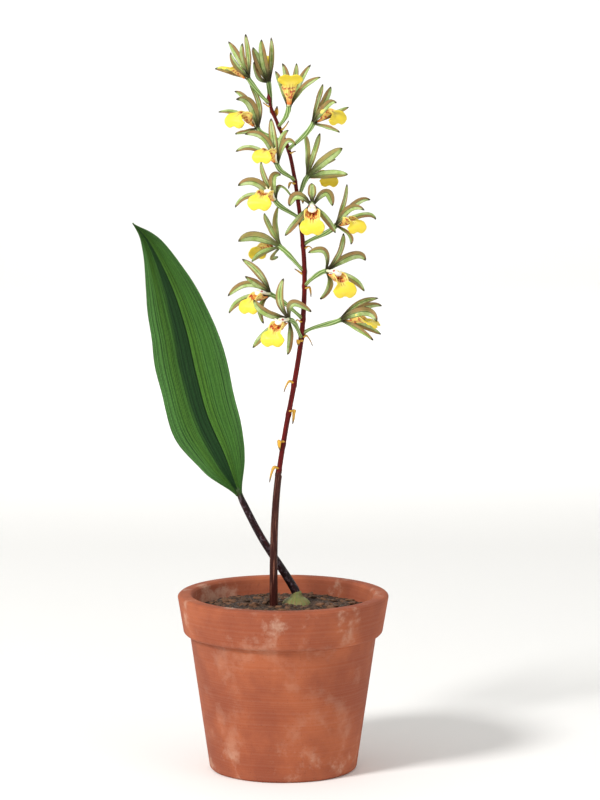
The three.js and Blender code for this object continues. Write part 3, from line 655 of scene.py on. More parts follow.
class ScapeSettings(bpy.types.PropertyGroup):
    sheath: colour_setting("Sheath", "Sheath at the foot", "#38150f")
    # Pale streaks of the sheath, part bloom and part painted sheen
    bloom_and_sheen: colour_setting("Streak", "Pale streaks of the sheath", "#a06a55")
    stalk: colour_setting("Stalk", "Stalk and rachis", "#430507")
    # Painted shade, as dark flecks on the stalk and the sheath
    shade: colour_setting("Shade", "Dark flecks of the stalk", "#240608")
    bract: colour_setting("Bract", "Bracts", "#e0ac35")
    claw: colour_setting("Claw", "Dark tips of the bracts", "#4a2a14")


class FlowerSettings(bpy.types.PropertyGroup):
    thickness: length_setting("Thickness", "Thickness of sepals and petals", 0.0006)
    green: colour_setting("Green", "Green of sepals and petals", "#a0ba64")
    tan: colour_setting("Tan", "Tan of sepals and petals", "#a17548")
    dark: colour_setting("Dark", "Dark bases, tips and lines", "#220d0a")
    stalk: colour_setting("Pedicel", "Pedicel and ovary", "#6d9040")
    stripe: colour_setting("Stripe", "Pale ribs of the ovary", "#aec47c")
    # Painted shade in the furrows of the ovary
    furrow_shade: colour_setting("Furrow", "Dark furrows of the ovary", "#31431f")


class LipSettings(bpy.types.PropertyGroup):
    thickness: length_setting("Thickness", "Thickness of the lip", 0.0006)
    yellow: colour_setting("Yellow", "Middle lobe of the lip", "#efd53c")
    cream: colour_setting("Cream", "Throat and side lobes", "#f2de78")
    crimson: colour_setting("Crimson", "Spots and streaks", "#b01c25")
    flame: colour_setting("Flame", "Foot of the lip", "#dd6a22")
    ivory: colour_setting("Ivory", "Column and anther cap", "#fbf6e6")
    tinge: colour_setting("Tinge", "Green edges of the column", "#c5cf8b")


class StudioSettings(bpy.types.PropertyGroup):
    backdrop: colour_setting("Backdrop", "Floor and backdrop", "#fbfaf7")
    key: light_setting("Key", "Power of the main light", 44)
    fill: light_setting("Fill", "Power of the fill light", 7)
    wash: light_setting("Wash", "Power of the backdrop light", 9)
    sky: light_setting("Sky", "Strength of the light from all round", 0.58)


def clay_finish(pot):
    """Fired clay with scorched patches, a pale bloom, turning lines and a fine grain"""
    finish = Finish("fired_clay")
    spot = finish.place()
    height = spot.parts()[2]
    cloud = finish.noise(spot, 0.03, 4, 0.6)
    grain = finish.noise(spot, 2.2, 3, 0.7)
    lines = finish.noise(finish.spot(0.0, 0.0, height + cloud * 3), 0.8, 3, 0.6)
    patches = finish.noise(spot, 0.055, 5, 0.65).rise(0.52, 0.7)
    ends = finish.most(height.fall(0, 26), height.rise(66, 92))
    pores = finish.cells(spot, 0.55).fall(0.05, 0.16)
    clay = finish.coats(
        pot.scorch,
        (cloud.rise(0.35, 0.7), pot.clay),
        (lines.rise(0.35, 0.75) * 0.06, pot.salts),
        (grain.rise(0.5, 0.8) * 0.3, pot.scorch),
        (patches * (ends * 0.38 + 0.12), pot.salts),
        (pores * 0.4, pot.scorch),
    )
    relief = lines * 0.18 + grain * 0.5 - pores
    return finish.done(clay, grain.rise(0.3, 0.7, 0.82, 0.96), relief, 0.28)


def earth_finish(soil):
    """Damp soil with drier crumbs and pale specks"""
    finish = Finish("potting_soil")
    spot = finish.place()
    crumbs = finish.noise(spot, 0.55, 5, 0.7)
    damp = finish.noise(spot, 0.05).rise(0.35, 0.65)
    earth = finish.coats(
        soil.earth,
        (crumbs.rise(0.42, 0.68), soil.crumb),
        (damp * 0.45, soil.earth),
        (finish.cells(spot, 0.42).fall(0.1, 0.17) * 0.35, paint("#c9b9a2")),
    )
    relief = crumbs + finish.noise(spot, 2.4, 3) * 0.4
    return finish.done(earth, damp.rise(0, 1, 0.95, 0.7), relief, 1.1)


def bark_finish(soil):
    """Bark chips, each with a shade of its own, and a fine grain"""
    finish = Finish("bark")
    grain = finish.noise(finish.place(), 1.4, 4, 0.7)
    bark = finish.coats(
        soil.earth,
        (finish.tone(), soil.bark),
        (grain.rise(0.5, 0.75) * 0.6, paint("#b08a62")),
    )
    return finish.done(bark, grain.rise(0.3, 0.7, 0.75, 0.95), grain, 0.5)


def bulb_finish(soil):
    """Green pseudobulb in the dry fibres of old sheaths"""
    finish = Finish("pseudobulb")
    inputs = {"Vector": finish.place(), "Location": -BULB_AT}
    x, y, z = finish.node("ShaderNodeMapping", {}, inputs).parts()
    threads = finish.noise(finish.spot(finish.sum("ARCTAN2", y, x) * 9, z * 0.12), 1.5, 4, 0.7)
    fibres = threads.rise(0.45, 0.62)
    bulb = finish.coats(soil.bulb, (fibres, soil.fibre), (threads.rise(0.62, 0.8), soil.earth))
    return finish.done(bulb, fibres.rise(0, 1, 0.42, 0.8), threads, 0.6)


def blade_finish(leaf, front):
    """Pleated blade: a painted-shade band left of the midrib, a warm one right of it, dark nerves, fine
    lines
    """
    finish = Finish("leaf_front" if front else "leaf_back")
    side, away, v = finish.blade()
    drift = (finish.streaks(side * 3, v * 5) - 0.5) * 0.16
    shifted = side + drift * away.rise(0.1, 0.3)
    streaks = finish.streaks(side * 34, v * 5, 4, 0.7)
    narrow = v.rise(0.55, 0.95, 0, 0.12)
    # Painted shade: a dark band left of the midrib, on the half of the folded blade turned from the light
    deep = (shifted - narrow).rise(-0.44, -0.3) * side.fall(-0.004, 0.012)
    warm = side.rise(0, 0.015) * shifted.fall(0.2, 0.36)
    olive = shifted.rise(-0.66, -0.58) * shifted.fall(-0.5, -0.42)
    fine = away.nerves(34, 0.3)
    ticks = finish.streaks(side * 60, v * 230, 1).rise(0.4, 0.62)
    strong = finish.most(away.nerves(8, 0.09), away.nerves(13, 0.1) * 0.6)
    fade = finish.streaks(side * 9, v * 7).rise(0.35, 0.6, 0.45, 1)
    midrib = away.fall(0.004, 0.022)
    lines = finish.most(strong * fade, midrib)
    green = finish.coats(
        leaf.green,
        (away.rise(0.62, 1) * 0.8, leaf.margin),
        (finish.most(warm, olive * 0.7) * 0.85, leaf.warm),
        (deep * 0.92, leaf.deep),
        (streaks.rise(0.45, 0.75) * 0.32, leaf.deep),
        (streaks.fall(0.28, 0.42) * 0.25, paint("#78a552")),
        (fine * (ticks * 0.5 + 0.42), leaf.nerve),
        (finish.most(lines * 0.85, away.rise(0.975, 1) * 0.5), leaf.nerve),
    )
    if not front:
        green = finish.coats(green, (0.35, paint("#9dbf8d")))
    relief = 1 - strong * 0.7 - fine * 0.25 - midrib + streaks * 0.3
    return finish.done(green, streaks.rise(0.3, 0.7, 0.42, 0.58), relief, 0.3, 0.18)


def petiole_finish(leaf):
    """Dark petiole with pale mottles, green where it becomes the midrib"""
    finish = Finish("petiole")
    around, v = finish.sheet()
    mottles = finish.streaks(around * 7, v * 75, 4, 0.7)
    streaks = finish.streaks(around * 16, v * 9, 3)
    stalk = finish.coats(
        leaf.petiole,
        (streaks.rise(0.45, 0.7) * 0.5, paint("#43191a")),
        (mottles.rise(0.5, 0.68) * 0.6, leaf.mottle),
        (v.rise(0.27, 0.33), mix(Vector(leaf.green), Vector(leaf.deep), 0.4)),
    )
    return finish.done(stalk, mottles.rise(0.4, 0.6, 0.38, 0.6), streaks, 0.15, 0.16)


def scape_finish(scape):
    """Brown sheath with pale streaks of bloom and painted sheen below, dark red stalk with brighter
    streaks of painted highlight above, and dark flecks of painted shade on both
    """
    finish = Finish("scape")
    around, _ = finish.sheet()
    height = finish.place().parts()[2]
    streaks = finish.streaks(around * 22, height * 0.06, 4, 0.65)
    flecks = finish.streaks(around * 30, height * 0.9, 3, 0.6)
    stalk = finish.coats(
        scape.stalk,
        # Painted highlight: brighter red streaks on the stalk
        (streaks.rise(0.4, 0.7), paint("#86170f")),
        # Painted shade: dark flecks on the stalk
        (flecks.rise(0.5, 0.68) * 0.8, scape.shade),
    )
    skin = finish.coats(
        scape.sheath,
        # Pale streaks on the sheath, part bloom and part painted sheen
        (streaks.rise(0.5, 0.72) * 0.85, scape.bloom_and_sheen),
        # Painted shade: dark flecks on the sheath
        (flecks.rise(0.52, 0.7) * 0.6, scape.shade),
        (height.rise(SHEATH_TOP - 1, SHEATH_TOP + 1), stalk),
    )
    return finish.done(skin, flecks.rise(0.3, 0.7, 0.32, 0.5), streaks, 0.18, 0.16)


def bract_finish(scape):
    """Golden bracts with nerves, dark edges and dark claws"""
    finish = Finish("bract")
    u, v = finish.sheet()
    threads = finish.streaks(u * 14, v * 2, 3)
    edge = (abs(u * 2 - 1) + v * 0.25).rise(0.85, 1.1) * 0.8
    claw = (v + threads * 0.2).rise(0.72, 0.98)
    gold = finish.coats(
        scape.bract,
        (threads.rise(0.4, 0.7) * 0.6, paint("#b9772a")),
        (finish.most(edge, claw), scape.claw),
    )
    return finish.done(gold, threads.rise(0.3, 0.7, 0.45, 0.65), threads, 0.2)


def tepal_finish(flower, front):
    """Sepals and petals: green with a tan half or tan margins, dark streaked foot, midline and tip. The
    tone is which side is tan, from -1 to 1, and 0 is both."""
    finish = Finish("tepal_front" if front else "tepal_back")
    side, away, v = finish.blade()
    lean = finish.tone()
    lopsided = abs(lean).rise(0.3, 0.7)
    streaks = finish.streaks(side * 9 + lean * 7, v * 2.5, 4, 0.65)
    cloud = finish.noise(finish.place(), 0.32, 3, 0.6)
    ragged = (streaks - 0.5) * 0.4
    one = (side * lean + ragged).rise(-0.05, 0.25) * v.rise(0.12, 0.5, 0.4, 1)
    both = (away + ragged).rise(0.3, 0.75)
    tan = lopsided * one + (1 - lopsided) * both
    lines = away.nerves(5, 0.22) * streaks.rise(0.35, 0.6, 0.05, 0.35)
    midline = away.fall(0.03, 0.12) * v.rise(0.75, 0.95, 0.85, 0.3)
    foot = (v + (streaks - 0.5) * 1.1).fall(0.15, 0.44)
    tip = (v + (cloud - 0.5) * 0.1).rise(0.9, 0.98)
    rim = (away + (cloud - 0.5) * 0.3).rise(0.86, 0.98) * 0.75
    marks = finish.most(lines, midline, foot * 0.95, tip, rim)
    skin = finish.coats(
        flower.green,
        (cloud.rise(0.35, 0.65), paint("#c3d394")),
        (tan * cloud.rise(0.25, 0.75, 0.7, 1), flower.tan),
    )
    if not front:
        skin = finish.coats(skin, (0.25, flower.green))
    skin = finish.coats(skin, (marks * (0.95 if front else 0.8), flower.dark))
    relief = 1 - lines - midline * 0.8 + streaks * 0.4
    return finish.done(skin, streaks.rise(0.3, 0.7, 0.45, 0.6), relief, 0.16, 0.18)


def ovary_finish(flower):
    """Green pedicel and ribbed ovary with pale ribs and painted shade in its furrows"""
    finish = Finish("ovary")
    around, v = finish.sheet()
    twisted = (around * 6 + v * 1.2).fold()
    streaks = finish.streaks(around * 18, v * 4, 3)
    skin = finish.coats(
        flower.stalk,
        (twisted.fall(0.08, 0.3), flower.stripe),
        # Painted shade in the furrows between the ribs
        ((twisted + (streaks - 0.5) * 0.3).rise(0.36, 0.5) * 0.8, flower.furrow_shade),
        (v.rise(0, 0.16, 0.6, 0), paint("#5c2a1c")),
        (v.rise(0.9, 1, 0, 0.55), flower.dark),
    )
    return finish.done(skin, streaks.rise(0.3, 0.7, 0.42, 0.58), 1 - twisted, 0.3)


def lip_finish(lip, front):
    """Yellow middle lobe, cream throat and side lobes with crimson spots, fine throat lines, fiery foot"""
    finish = Finish("lip_front" if front else "lip_back")
    side, away, v = finish.blade()
    cloud = finish.noise(finish.place(), 0.4, 3, 0.6)
    pale = v.fall(0.66, 0.86) * away.fall(0.1, 0.7)
    pale = finish.most(pale * 0.6, cloud.rise(0.5, 0.75) * 0.3)
    speckles = finish.cells(finish.spot(side * 3.2, v * 10.5), 1.0) + (cloud - 0.5) * 0.3
    edge = away.fall(0.8, 0.93)
    spots = speckles.fall(0.46, 0.58) * v.rise(0.1, 0.18) * v.fall(0.54, 0.6) * edge
    wash = finish.streaks(side * 7, v * 3).rise(0.42, 0.56) * v.fall(0.5, 0.62) * edge
    threads = away.nerves(6, 0.12) * away.fall(0.2, 0.3) * v.rise(0.42, 0.5) * v.fall(0.66, 0.76)
    skin = finish.coats(
        lip.cream,
        ((v + (cloud - 0.5) * 0.06).rise(0.56, 0.66), finish.coats(lip.yellow, (pale, lip.cream))),
        (v.rise(0.03, 0.2, 0.95, 0), lip.flame),
        (wash * (0.85 if front else 0.45), lip.flame),
        (spots * (0.95 if front else 0.8), lip.crimson),
        (threads * (0.8 if front else 0.2), paint("#5a1a16")),
        (away.rise(0.95, 1) * 0.35, paint("#a8821c")),
    )
    relief = cloud + threads * 0.5
    return finish.done(skin, cloud.rise(0.3, 0.7, 0.38, 0.55), relief, 0.2, 0.35)


def column_finish(lip):
    """Ivory column with a crimson spot on each side of its cap and greenish edges"""
    finish = Finish("column")
    around, v = finish.sheet()
    aside = around.fold() * 2
    from_side = finish.sum("MINIMUM", aside, 1 - aside)
    cloud = finish.noise(finish.place(), 0.7, 3)
    spot = finish.sum("SQRT", ((from_side - 0.16) * 4.2) ** 2 + ((v - 0.66) * 8) ** 2)
    body = around.fall(0.49, 0.51) * finish.tone().fall(0.2, 0.4)
    skin = finish.coats(
        lip.ivory,
        (v.rise(0, 0.5, 0.75, 0), lip.tinge),
        (around.rise(0.55, 0.65) * around.fall(0.85, 0.95) * 0.5, lip.cream),
        ((spot + (cloud - 0.5) * 0.3).rise(0.4, 0.62, 0.95, 0) * body, lip.crimson),
    )
    return finish.done(skin, cloud.rise(0.3, 0.7, 0.3, 0.5), cloud, 0.15)


def pot_outline(pot):
    """Outline of the pot, up its outside and down its inside, in mm"""
    sizes = pot.height, pot.top_radius, pot.foot_radius, pot.wall
    height, top, foot, wall = (size / MM for size in sizes)
    slope = (top - RIM_STEP - foot) / height
    rim = height - RIM_HEIGHT
    under_rim = foot + slope * rim
    inner = foot - wall
    mouth = inner + slope * height
    return [
        (0, FOOT_RECESS), (foot - FOOT_RING - 2, FOOT_RECESS), (foot - FOOT_RING, 0), (foot - POT_BEVEL, 0),
        (foot + slope * POT_BEVEL, POT_BEVEL), (under_rim, rim),
        (under_rim + RIM_STEP - POT_BEVEL, rim), (under_rim + RIM_STEP, rim + POT_BEVEL),
        (top, height - POT_BEVEL), (top - POT_BEVEL, height), (mouth + POT_BEVEL, height),
        (mouth, height - POT_BEVEL), (inner + slope * POT_FLOOR, POT_FLOOR), (0, POT_FLOOR),
    ]


def cut_drains(pot):
    """Cuts the drainage holes through the floor of the pot"""
    drill = bmesh.new()
    for k in range(DRAIN_COUNT):
        angle = TURN * (k + 0.25) / DRAIN_COUNT
        spot = Vector((cos(angle), sin(angle), 0)) * DRAIN_RING_RADIUS * MM
        bmesh.ops.create_cone(
            drill, cap_ends=True, segments=DRAIN_SIDES, radius1=DRAIN_RADIUS * MM,
            radius2=DRAIN_RADIUS * MM, depth=POT_FLOOR * 4 * MM, matrix=Matrix.Translation(spot),
        )
    cutter = new_object("drill", drill)
    cut = pot.modifiers.new("drains", "BOOLEAN")
    cut.operation = "DIFFERENCE"
    cut.object = cutter
    holed = bpy.data.meshes.new_from_object(pot.evaluated_get(bpy.context.evaluated_depsgraph_get()))
    pot.modifiers.clear()
    pot.data = holed
    bpy.data.objects.remove(cutter)


def soil_top(x, y):
    """Height of the soil at a place"""
    mound = SOIL_MOUND * (1 - min(1, (x * x + y * y) / SOIL_EDGE**2))
    lumps = sin(x * 0.31 + 1) * cos(y * 0.37) + 0.6 * sin(x * 0.73 - y * 0.59)
    crumbs = noise.noise(Vector((x, y, 0)) * 0.4) * 0.9 + noise.noise(Vector((x, y, 9)) * 1.1) * 0.5
    return SOIL_HEIGHT + mound + 0.45 * lumps + crumbs


def add_chip(mesh, draw, at, length):
    """A bark chip: a block with broken corners"""
    axis = Vector((draw.uniform(-1, 1), draw.uniform(-1, 1), 0)).normalized()
    lean = Quaternion(axis, draw.uniform(0, 0.5))
    place = Matrix.Translation(at) @ (Quaternion(UP, draw.uniform(0, TURN)) @ lean).to_matrix().to_4x4()
    size = Vector((length, length * draw.uniform(0.45, 0.8), length * draw.uniform(0.18, 0.35)))
    chip = bmesh.ops.create_cube(mesh, size=1, matrix=place @ Matrix.Diagonal(size).to_4x4())
    shade = draw.random()
    tones = mesh.verts.layers.float["tone"]
    for vert in chip["verts"]:
        shift = Vector((draw.uniform(-1, 1), draw.uniform(-1, 1), draw.uniform(-0.5, 0.5)))
        vert.co += shift * length * CHIP_BREAK
        vert[tones] = shade
    edges = list({edge for vert in chip["verts"] for edge in vert.link_edges})
    bevel(mesh, edges, length * CHIP_BEVEL, 1, False)


def scape_line():
    return line_through(SCAPE_LINE)


def scape_radius(height):
    """Radius of the stalk at a height"""
    if height < RACHIS_FOOT:
        return STALK_RADIUS
    if height < BUD_FOOT:
        return mix(STALK_RADIUS, RACHIS_TIP_RADIUS, (height - RACHIS_FOOT) / (BUD_FOOT - RACHIS_FOOT))
    share = (height - BUD_FOOT) / (SCAPE_LINE[-1][2] - BUD_FOOT)
    return max(0.1, BUD_RADIUS * sin(pi * (0.25 + 0.75 * min(1, share))))


def share_at(line, height):
    """Share of the line's length where it reaches a height"""
    low, high = 0.0, 1.0
    for _ in range(24):
        middle = (low + high) / 2
        if line.at(middle).z < height:
            low = middle
        else:
            high = middle
    return low


def curled(at, across, normal, half, turned, side):
    """Point and direction on a sheet whose edges are turned by an angle from its middle"""
    bend = turned * side
    reach = half / turned
    spot = at + across * (reach * sin(bend)) - normal * (reach * (1 - cos(bend)))
    return spot, normal * cos(bend) + across * sin(bend)


def add_bract(mesh, line, foot, tip, width):
    """A bract that clasps the stalk at its foot and bends over to a clawed tip"""
    radius = scape_radius(foot)
    tip = Vector(tip)
    root = line.at(share_at(line, foot))
    out = flat(tip).normalized()
    start = root + out * (radius + 0.15) - UP * 0.6
    bend = root + out * 3 + UP * (1 if tip.z > 0 else 2.2)
    path = bent_line(start, bend, root + tip)

    def place(side, v, at, _, across, normal):
        clasp = mix(1.25, 0.5, ease(0, 0.4, v))
        half = mix(radius * 1.7, width * 0.62, ease(0, 0.35, v)) * max(0.04, 1 - v**3)
        return curled(at, across, normal, half, -clasp, side)

    columns, rows = BRACT_GRID
    add_blade(mesh, columns, path.frames(path.way(0).cross(UP), rows), BRACT_THICKNESS, place)


def midrib_frames(rows):
    """Point, direction, across and out at even steps of the midrib, with out towards the viewer"""
    midrib = line_through(MIDRIB_LINE)
    frames = []
    for row in range(rows + 1):
        way = midrib.way(row / rows)
        across = way.cross(Vector((0, -1, 0))).normalized()
        frames.append((midrib.at(row / rows), way, across, across.cross(way)))
    return frames


def add_blade_of_leaf(mesh, leaf):
    """The pleated blade, folded a little along its midrib and waved along its left margin"""
    pleat_depth, wave_height = leaf.pleat / MM, leaf.wave / MM

    def place(side, v, at, _, across, normal):
        away = abs(side)
        half = along(BLADE_LEFT if side < 0 else BLADE_RIGHT, v)
        reach = away * half
        body = min(1, half / 8)
        pleat = pleat_depth * cos(pi * PLEAT_COUNT * away) * body
        ridges = 0.09 * cos(pi * 16 * away) * body
        groove = -0.5 * bell(reach, 0, 0.7) * ease(0, 0.1, v) * (1 - ease(0.8, 1, v))
        wavy = 1 - v if side < 0 else 0.3
        reach *= 1 + 0.035 * wavy * away**3 * sin(v * WAVE_TURNS + 1.2)
        wave = wave_height * wavy * away**3 * sin(v * WAVE_TURNS)
        ruffle = 0.35 * away**4 * noise.noise(Vector((v * 26, side * 2, 5))) * body
        lift = reach * BLADE_FOLD + wave + pleat + ridges + groove + ruffle
        return at + across * copysign(reach, side) + normal * lift, normal

    columns, rows = LEAF_GRID
    add_blade(mesh, columns, midrib_frames(rows), leaf.thickness / MM, place)


class Flower:
    """Directions and sizes of one flower"""

    def __init__(self, height, hub, aim, opened, size, bract, tepals):
        self.height, self.opened, self.size, self.bract, self.tepals = height, opened, size, bract, tepals
        self.hub = Vector(hub)
        self.tilt = aim[1]
        turn, tilt, roll = (radians(angle) for angle in aim)
        level = cos(tilt)
        self.forward = Vector((sin(turn) * level, -cos(turn) * level, sin(tilt)))
        self.up = Quaternion(self.forward, roll) @ square_to(self.forward, UP)
        self.side = self.up.cross(self.forward)

    def at(self, ahead, above):
        return self.hub + self.forward * ahead + self.up * above


def flowers():
    """Each flower with its number"""
    return [(number, Flower(*row)) for number, row in enumerate(FLOWERS, 1)]


def place_part(mesh, name, finishes, slot, number):
    """Makes a flower's piece, which stands for the solid of the same number"""
    place_piece(mesh, f"{name}_{number:02d}", finishes, slot, f"{slot}_{number:02d}")


def add_tepal(mesh, flower, draw, index, thick):
    """One sepal or petal: slightly hollow, keeled behind, with an uneven margin"""
    halfway, tip, width = flower.tepals[index]
    tip = Vector(tip)
    showing = flower.forward.copy()
    showing.y += TEPAL_TURN if showing.y > 0.1 else -TEPAL_TURN
    showing.normalize()
    control = 2 * (Vector(halfway) + flower.forward * TEPAL_BOW) - 0.5 * tip
    across = square_to(showing, tip).cross(showing)
    root = square_to(flower.forward, tip) * TEPAL_ROOT
    path = bent_line(flower.hub + root, flower.hub + control, flower.hub + tip)
    if index == 0:
        lean = draw.uniform(-0.25, 0.25)
    elif index < 3:
        lean = copysign(1, across.dot(flower.up))
    else:
        lean = -copysign(1, across.dot(flower.side)) * copysign(1, tip.dot(flower.side))
    phase, waves = draw.uniform(0, TURN), draw.uniform(7, 11)

    def place(side, v, at, _, beside, normal):
        taper = max(0, 1 - max(0, (v - 0.5) * 2) ** 3) ** 0.75
        half = width * 1.1 / 2 * max(mix(0.4, 1, ease(0, 0.45, v)) * taper, 0.02)
        ripple = 0.28 * sin(v * waves + phase + side) * abs(side) ** 3 * ease(0.1, 0.5, v)
        keel = -0.18 * bell(side, 0, 0.16)
        folds = 0.07 * cos(side * pi * 5)
        lift = side * side * width * TEPAL_CUP + ripple + keel + folds
        return at + beside * (side * half) + normal * lift, normal

    columns, rows = TEPAL_GRID
    add_blade(mesh, columns, path.frames(across, rows), thick, place, lean)


def add_ovary(mesh, flower, line):
    """Pedicel that leaves the rachis and swells into a twisted, ribbed ovary behind the hub"""
    joint = line.at(share_at(line, flower.height))
    out = flat(flower.hub - joint).normalized()
    leave = out * 0.75 + UP * 0.65
    foot = joint + out * (scape_radius(flower.height) * 0.5) - UP * 0.8
    span = (foot - flower.hub).length
    ends = flower.at(-span * 0.3, -span * 0.12), flower.at(0.6, 0)
    path = Line(interpolate_bezier(foot, foot + leave * (span * 0.3), *ends, 40))

    def radius(share, turn):
        body = mix(PEDICEL_RADIUS, OVARY_RADIUS, sin(pi * share**1.6 * 0.75))
        collar = 0.25 * (1 - ease(0, 0.2, share))
        rib = 1 + 0.08 * cos(TURN * (6 * turn + 2.4 * share)) * ease(0.3, 0.6, share)
        return (body + collar) * rib * mix(1, 1.3, ease(0.93, 1, share))

    add_stem(mesh, path, leave.cross(UP) + Vector((0, 0, 1e-3)), OVARY_GRID, radius)


def add_lip(mesh, flower, thick):
    """The lip: a trough with erect side lobes, a waist, keels, and a broad notched middle lobe"""
    columns, rows = LIP_GRID
    opened, size = flower.opened, flower.size
    level = Vector((copysign(1, flower.side.x), 0, 0))
    ahead, above = LIP_FOOT
    knots = []
    for step, droop, _, _, hang, _ in LIP_ROWS:
        angle = radians((droop + flower.tilt * hang) * opened)
        ahead += step * size * cos(angle)
        above -= step * size * sin(angle)
        knots.append(flower.at(ahead, above))
    halves, curls, hangs, lobes = list(zip(*LIP_ROWS))[2:]
    frames = []
    for row in range(rows + 1):
        v = row / rows
        way = (along(knots, v + 0.02) - along(knots, v - 0.02)).normalized()
        across = square_to(way, flower.side.lerp(level, along(hangs, v) * LIP_TWIST * opened))
        frames.append((along(knots, v), way, across, across.cross(way)))

    def place(side, v, at, way, across, normal):
        away = abs(side)
        lobe = 1 + along(lobes, v)
        turned = radians(along(curls, v) * lobe + LIP_FURL * (1 - opened))
        turned = turned if abs(turned) > 1e-3 else 1e-3
        round_half = LOBE_HALF * sqrt(max(0, 1 - ((v - LOBE_MIDDLE) / LOBE_REACH) ** 2))
        half = mix(along(halves, v) * lobe, round_half, ease(0.6, 0.68, v)) * size
        spot, local = curled(at, across, normal, half, turned, side)
        margin = 1.9 * sqrt(1 - 0.99 * away * away) - LIP_NOTCH * bell(away, 0, 0.42) - 1.2
        spot += way * (margin * size * ease(0.72, 1, v))
        keel = 0.5 * cos(TURN * away * KEEL_COUNT) * bell(away, 0, 0.4, 4)
        swell = ease(0.12, 0.3, v) * (1 - ease(0.58, 0.75, v))
        dome = 0.9 * (1 - away**2) * ease(0.68, 0.84, v) * (1 - ease(0.86, 1, v) * 0.8)
        ruffle = 0.35 * away**3 * sin(v * 30) * ease(0.7, 0.8, v)
        return spot - local * ((keel * swell + dome + ruffle) * size), local

    add_blade(mesh, columns, frames, thick, place)


def add_column(mesh, flower):
    """The column: an arched ivory body, a rounded cap with a beak, and two horns on the cap"""
    size = flower.size
    shift = COLUMN_LINE[0][0] * (1 - size)
    knots = [flower.at(shift + ahead * size, above * size) for ahead, above in [(0, 0), *COLUMN_LINE]]
    path = line_through(knots)
    top = COLUMN_TOP_RADIUS * size

    def radius(share, turn):
        body = mix(COLUMN_FOOT_RADIUS * size, top, ease(0.15, 0.75, share))
        wings = 1 + 0.16 * cos(2 * TURN * turn) * ease(0.3, 0.7, share)
        cap = 1 + 0.08 * bell(share, 0.86, 0.05) - 0.1 * bell(share, 0.72, 0.03)
        rounding = sqrt(max(0, 1 - ease(0.86, 1, share) ** 2 * 0.97))
        return body * wings * cap * rounding

    def horn_radius(share, _):
        return HORN_RADIUS * size * (1 - share**2 * 0.85)

    add_stem(mesh, path, flower.side, COLUMN_GRID, radius, 0.86)
    for way in (-1, 1):
        root = path.at(0.87) + flower.side * (way * HORN_SPREAD * size) + flower.up * (top * 0.45)
        aim = (flower.up + flower.forward * 0.5 + flower.side * (way * 0.5)).normalized()
        tip = root + aim * (HORN_LENGTH + top * 0.4)
        horn = bent_line(root, root + flower.up * (HORN_LENGTH * 0.8), tip)
        add_stem(mesh, horn, flower.side, HORN_GRID, horn_radius, tone=1.0)


class PotOperator(bpy.types.Operator):
    """Make the clay pot with its rim, floor and drainage holes"""

    bl_idname = "orchid.pot"
    bl_label = "Clay pot"

    def execute(self, context):
        settings = context.scene.orchid_pot
        mesh = new_mesh()
        turn_outline(mesh, pot_outline(settings), POT_SIDES)
        edges = [edge for edge in mesh.edges if edge.calc_length() < POT_RING_EDGE]
        edges = [edge for edge in edges if edge.calc_face_angle(0) > POT_ROUNDED_ANGLE]
        bevel(mesh, edges, POT_EDGE_BEVEL, 3, True)
        for vert in mesh.verts:
            out = flat(vert.co)
            if out.length > DRAIN_RING_RADIUS + 5:
                vert.co += out.normalized() * POT_UNEVEN * noise.noise(vert.co * 0.05)
        pot = place_piece(mesh, "clay_pot", [clay_finish(settings)], "pot", "pot")
        cut_drains(pot)
        pot.data.shade_smooth()
        pot.data.set_sharp_from_angle(angle=radians(50))
        return {"FINISHED"}


class SoilOperator(bpy.types.Operator):
    """Make the mounded soil and the bark chips that lie on it"""

    bl_idname = "orchid.soil"
    bl_label = "Soil and chips"

    def execute(self, context):
        settings = context.scene.orchid_soil
        bottom = POT_FLOOR + GAP
        side = [(0, bottom), (SOIL_FOOT_RADIUS, bottom), (SOIL_EDGE - 0.3, SOIL_HEIGHT - 3)]
        rings = [(SOIL_EDGE * (1 - k / SOIL_RINGS), SOIL_HEIGHT) for k in range(SOIL_RINGS + 1)]
        mesh = new_mesh()
        turn_outline(mesh, side + rings, SOIL_SIDES)
        for vert in mesh.verts:
            if vert.co.z > SOIL_HEIGHT - 1:
                vert.co.z = soil_top(vert.co.x, vert.co.y)
        place_piece(mesh, "potting_soil", [earth_finish(settings)], "soil", "soil")
        draw = random.Random(CHIP_SEED)
        mesh = new_mesh()
        for _ in range(settings.chips):
            radius, angle = (SOIL_EDGE - 2.5) * sqrt(draw.random()), draw.uniform(0, TURN)
            x, y = radius * cos(angle), radius * sin(angle)
            length = draw.uniform(*CHIP_LENGTHS) * draw.uniform(0.7, 1)
            from_bulb = (Vector((x, y, 0)) - BULB_AT).length - length / 2
            from_scape = hypot(x - SCAPE_LINE[0][0], y) - length / 2
            if from_bulb >= BULB_CLEARANCE and from_scape >= SCAPE_CLEARANCE:
                add_chip(mesh, draw, Vector((x, y, soil_top(x, y) + 0.1)), length)
        place_piece(mesh, "bark_chips", [bark_finish(settings)], "soil", "soil")
        return {"FINISHED"}


class BulbOperator(bpy.types.Operator):
    """Make the pseudobulb with its folds and its neck"""

    bl_idname = "orchid.bulb"
    bl_label = "Pseudobulb"

    def execute(self, context):
        mesh = new_mesh()
        outline = line_through([(radius, 0, height) for radius, height in BULB_OUTLINE])
        points = [outline.at(k / BULB_RINGS) for k in range(BULB_RINGS + 1)]
        turn_outline(mesh, [(max(0, point.x), point.z) for point in points], BULB_SIDES)
        for vert in mesh.verts:
            out = flat(vert.co)
            angle = atan2(out.y, out.x)
            folds = 0.08 * cos(angle * 11) + 0.3 * noise.noise(Vector((angle * 4, vert.co.z * 0.1, 2)))
            vert.co += out.normalized() * folds * min(1, out.length / 4)
        bmesh.ops.translate(mesh, vec=BULB_AT, verts=mesh.verts)
        place_piece(mesh, "bulb", [bulb_finish(context.scene.orchid_soil)], "pseudobulb", "pseudobulb")
        return {"FINISHED"}


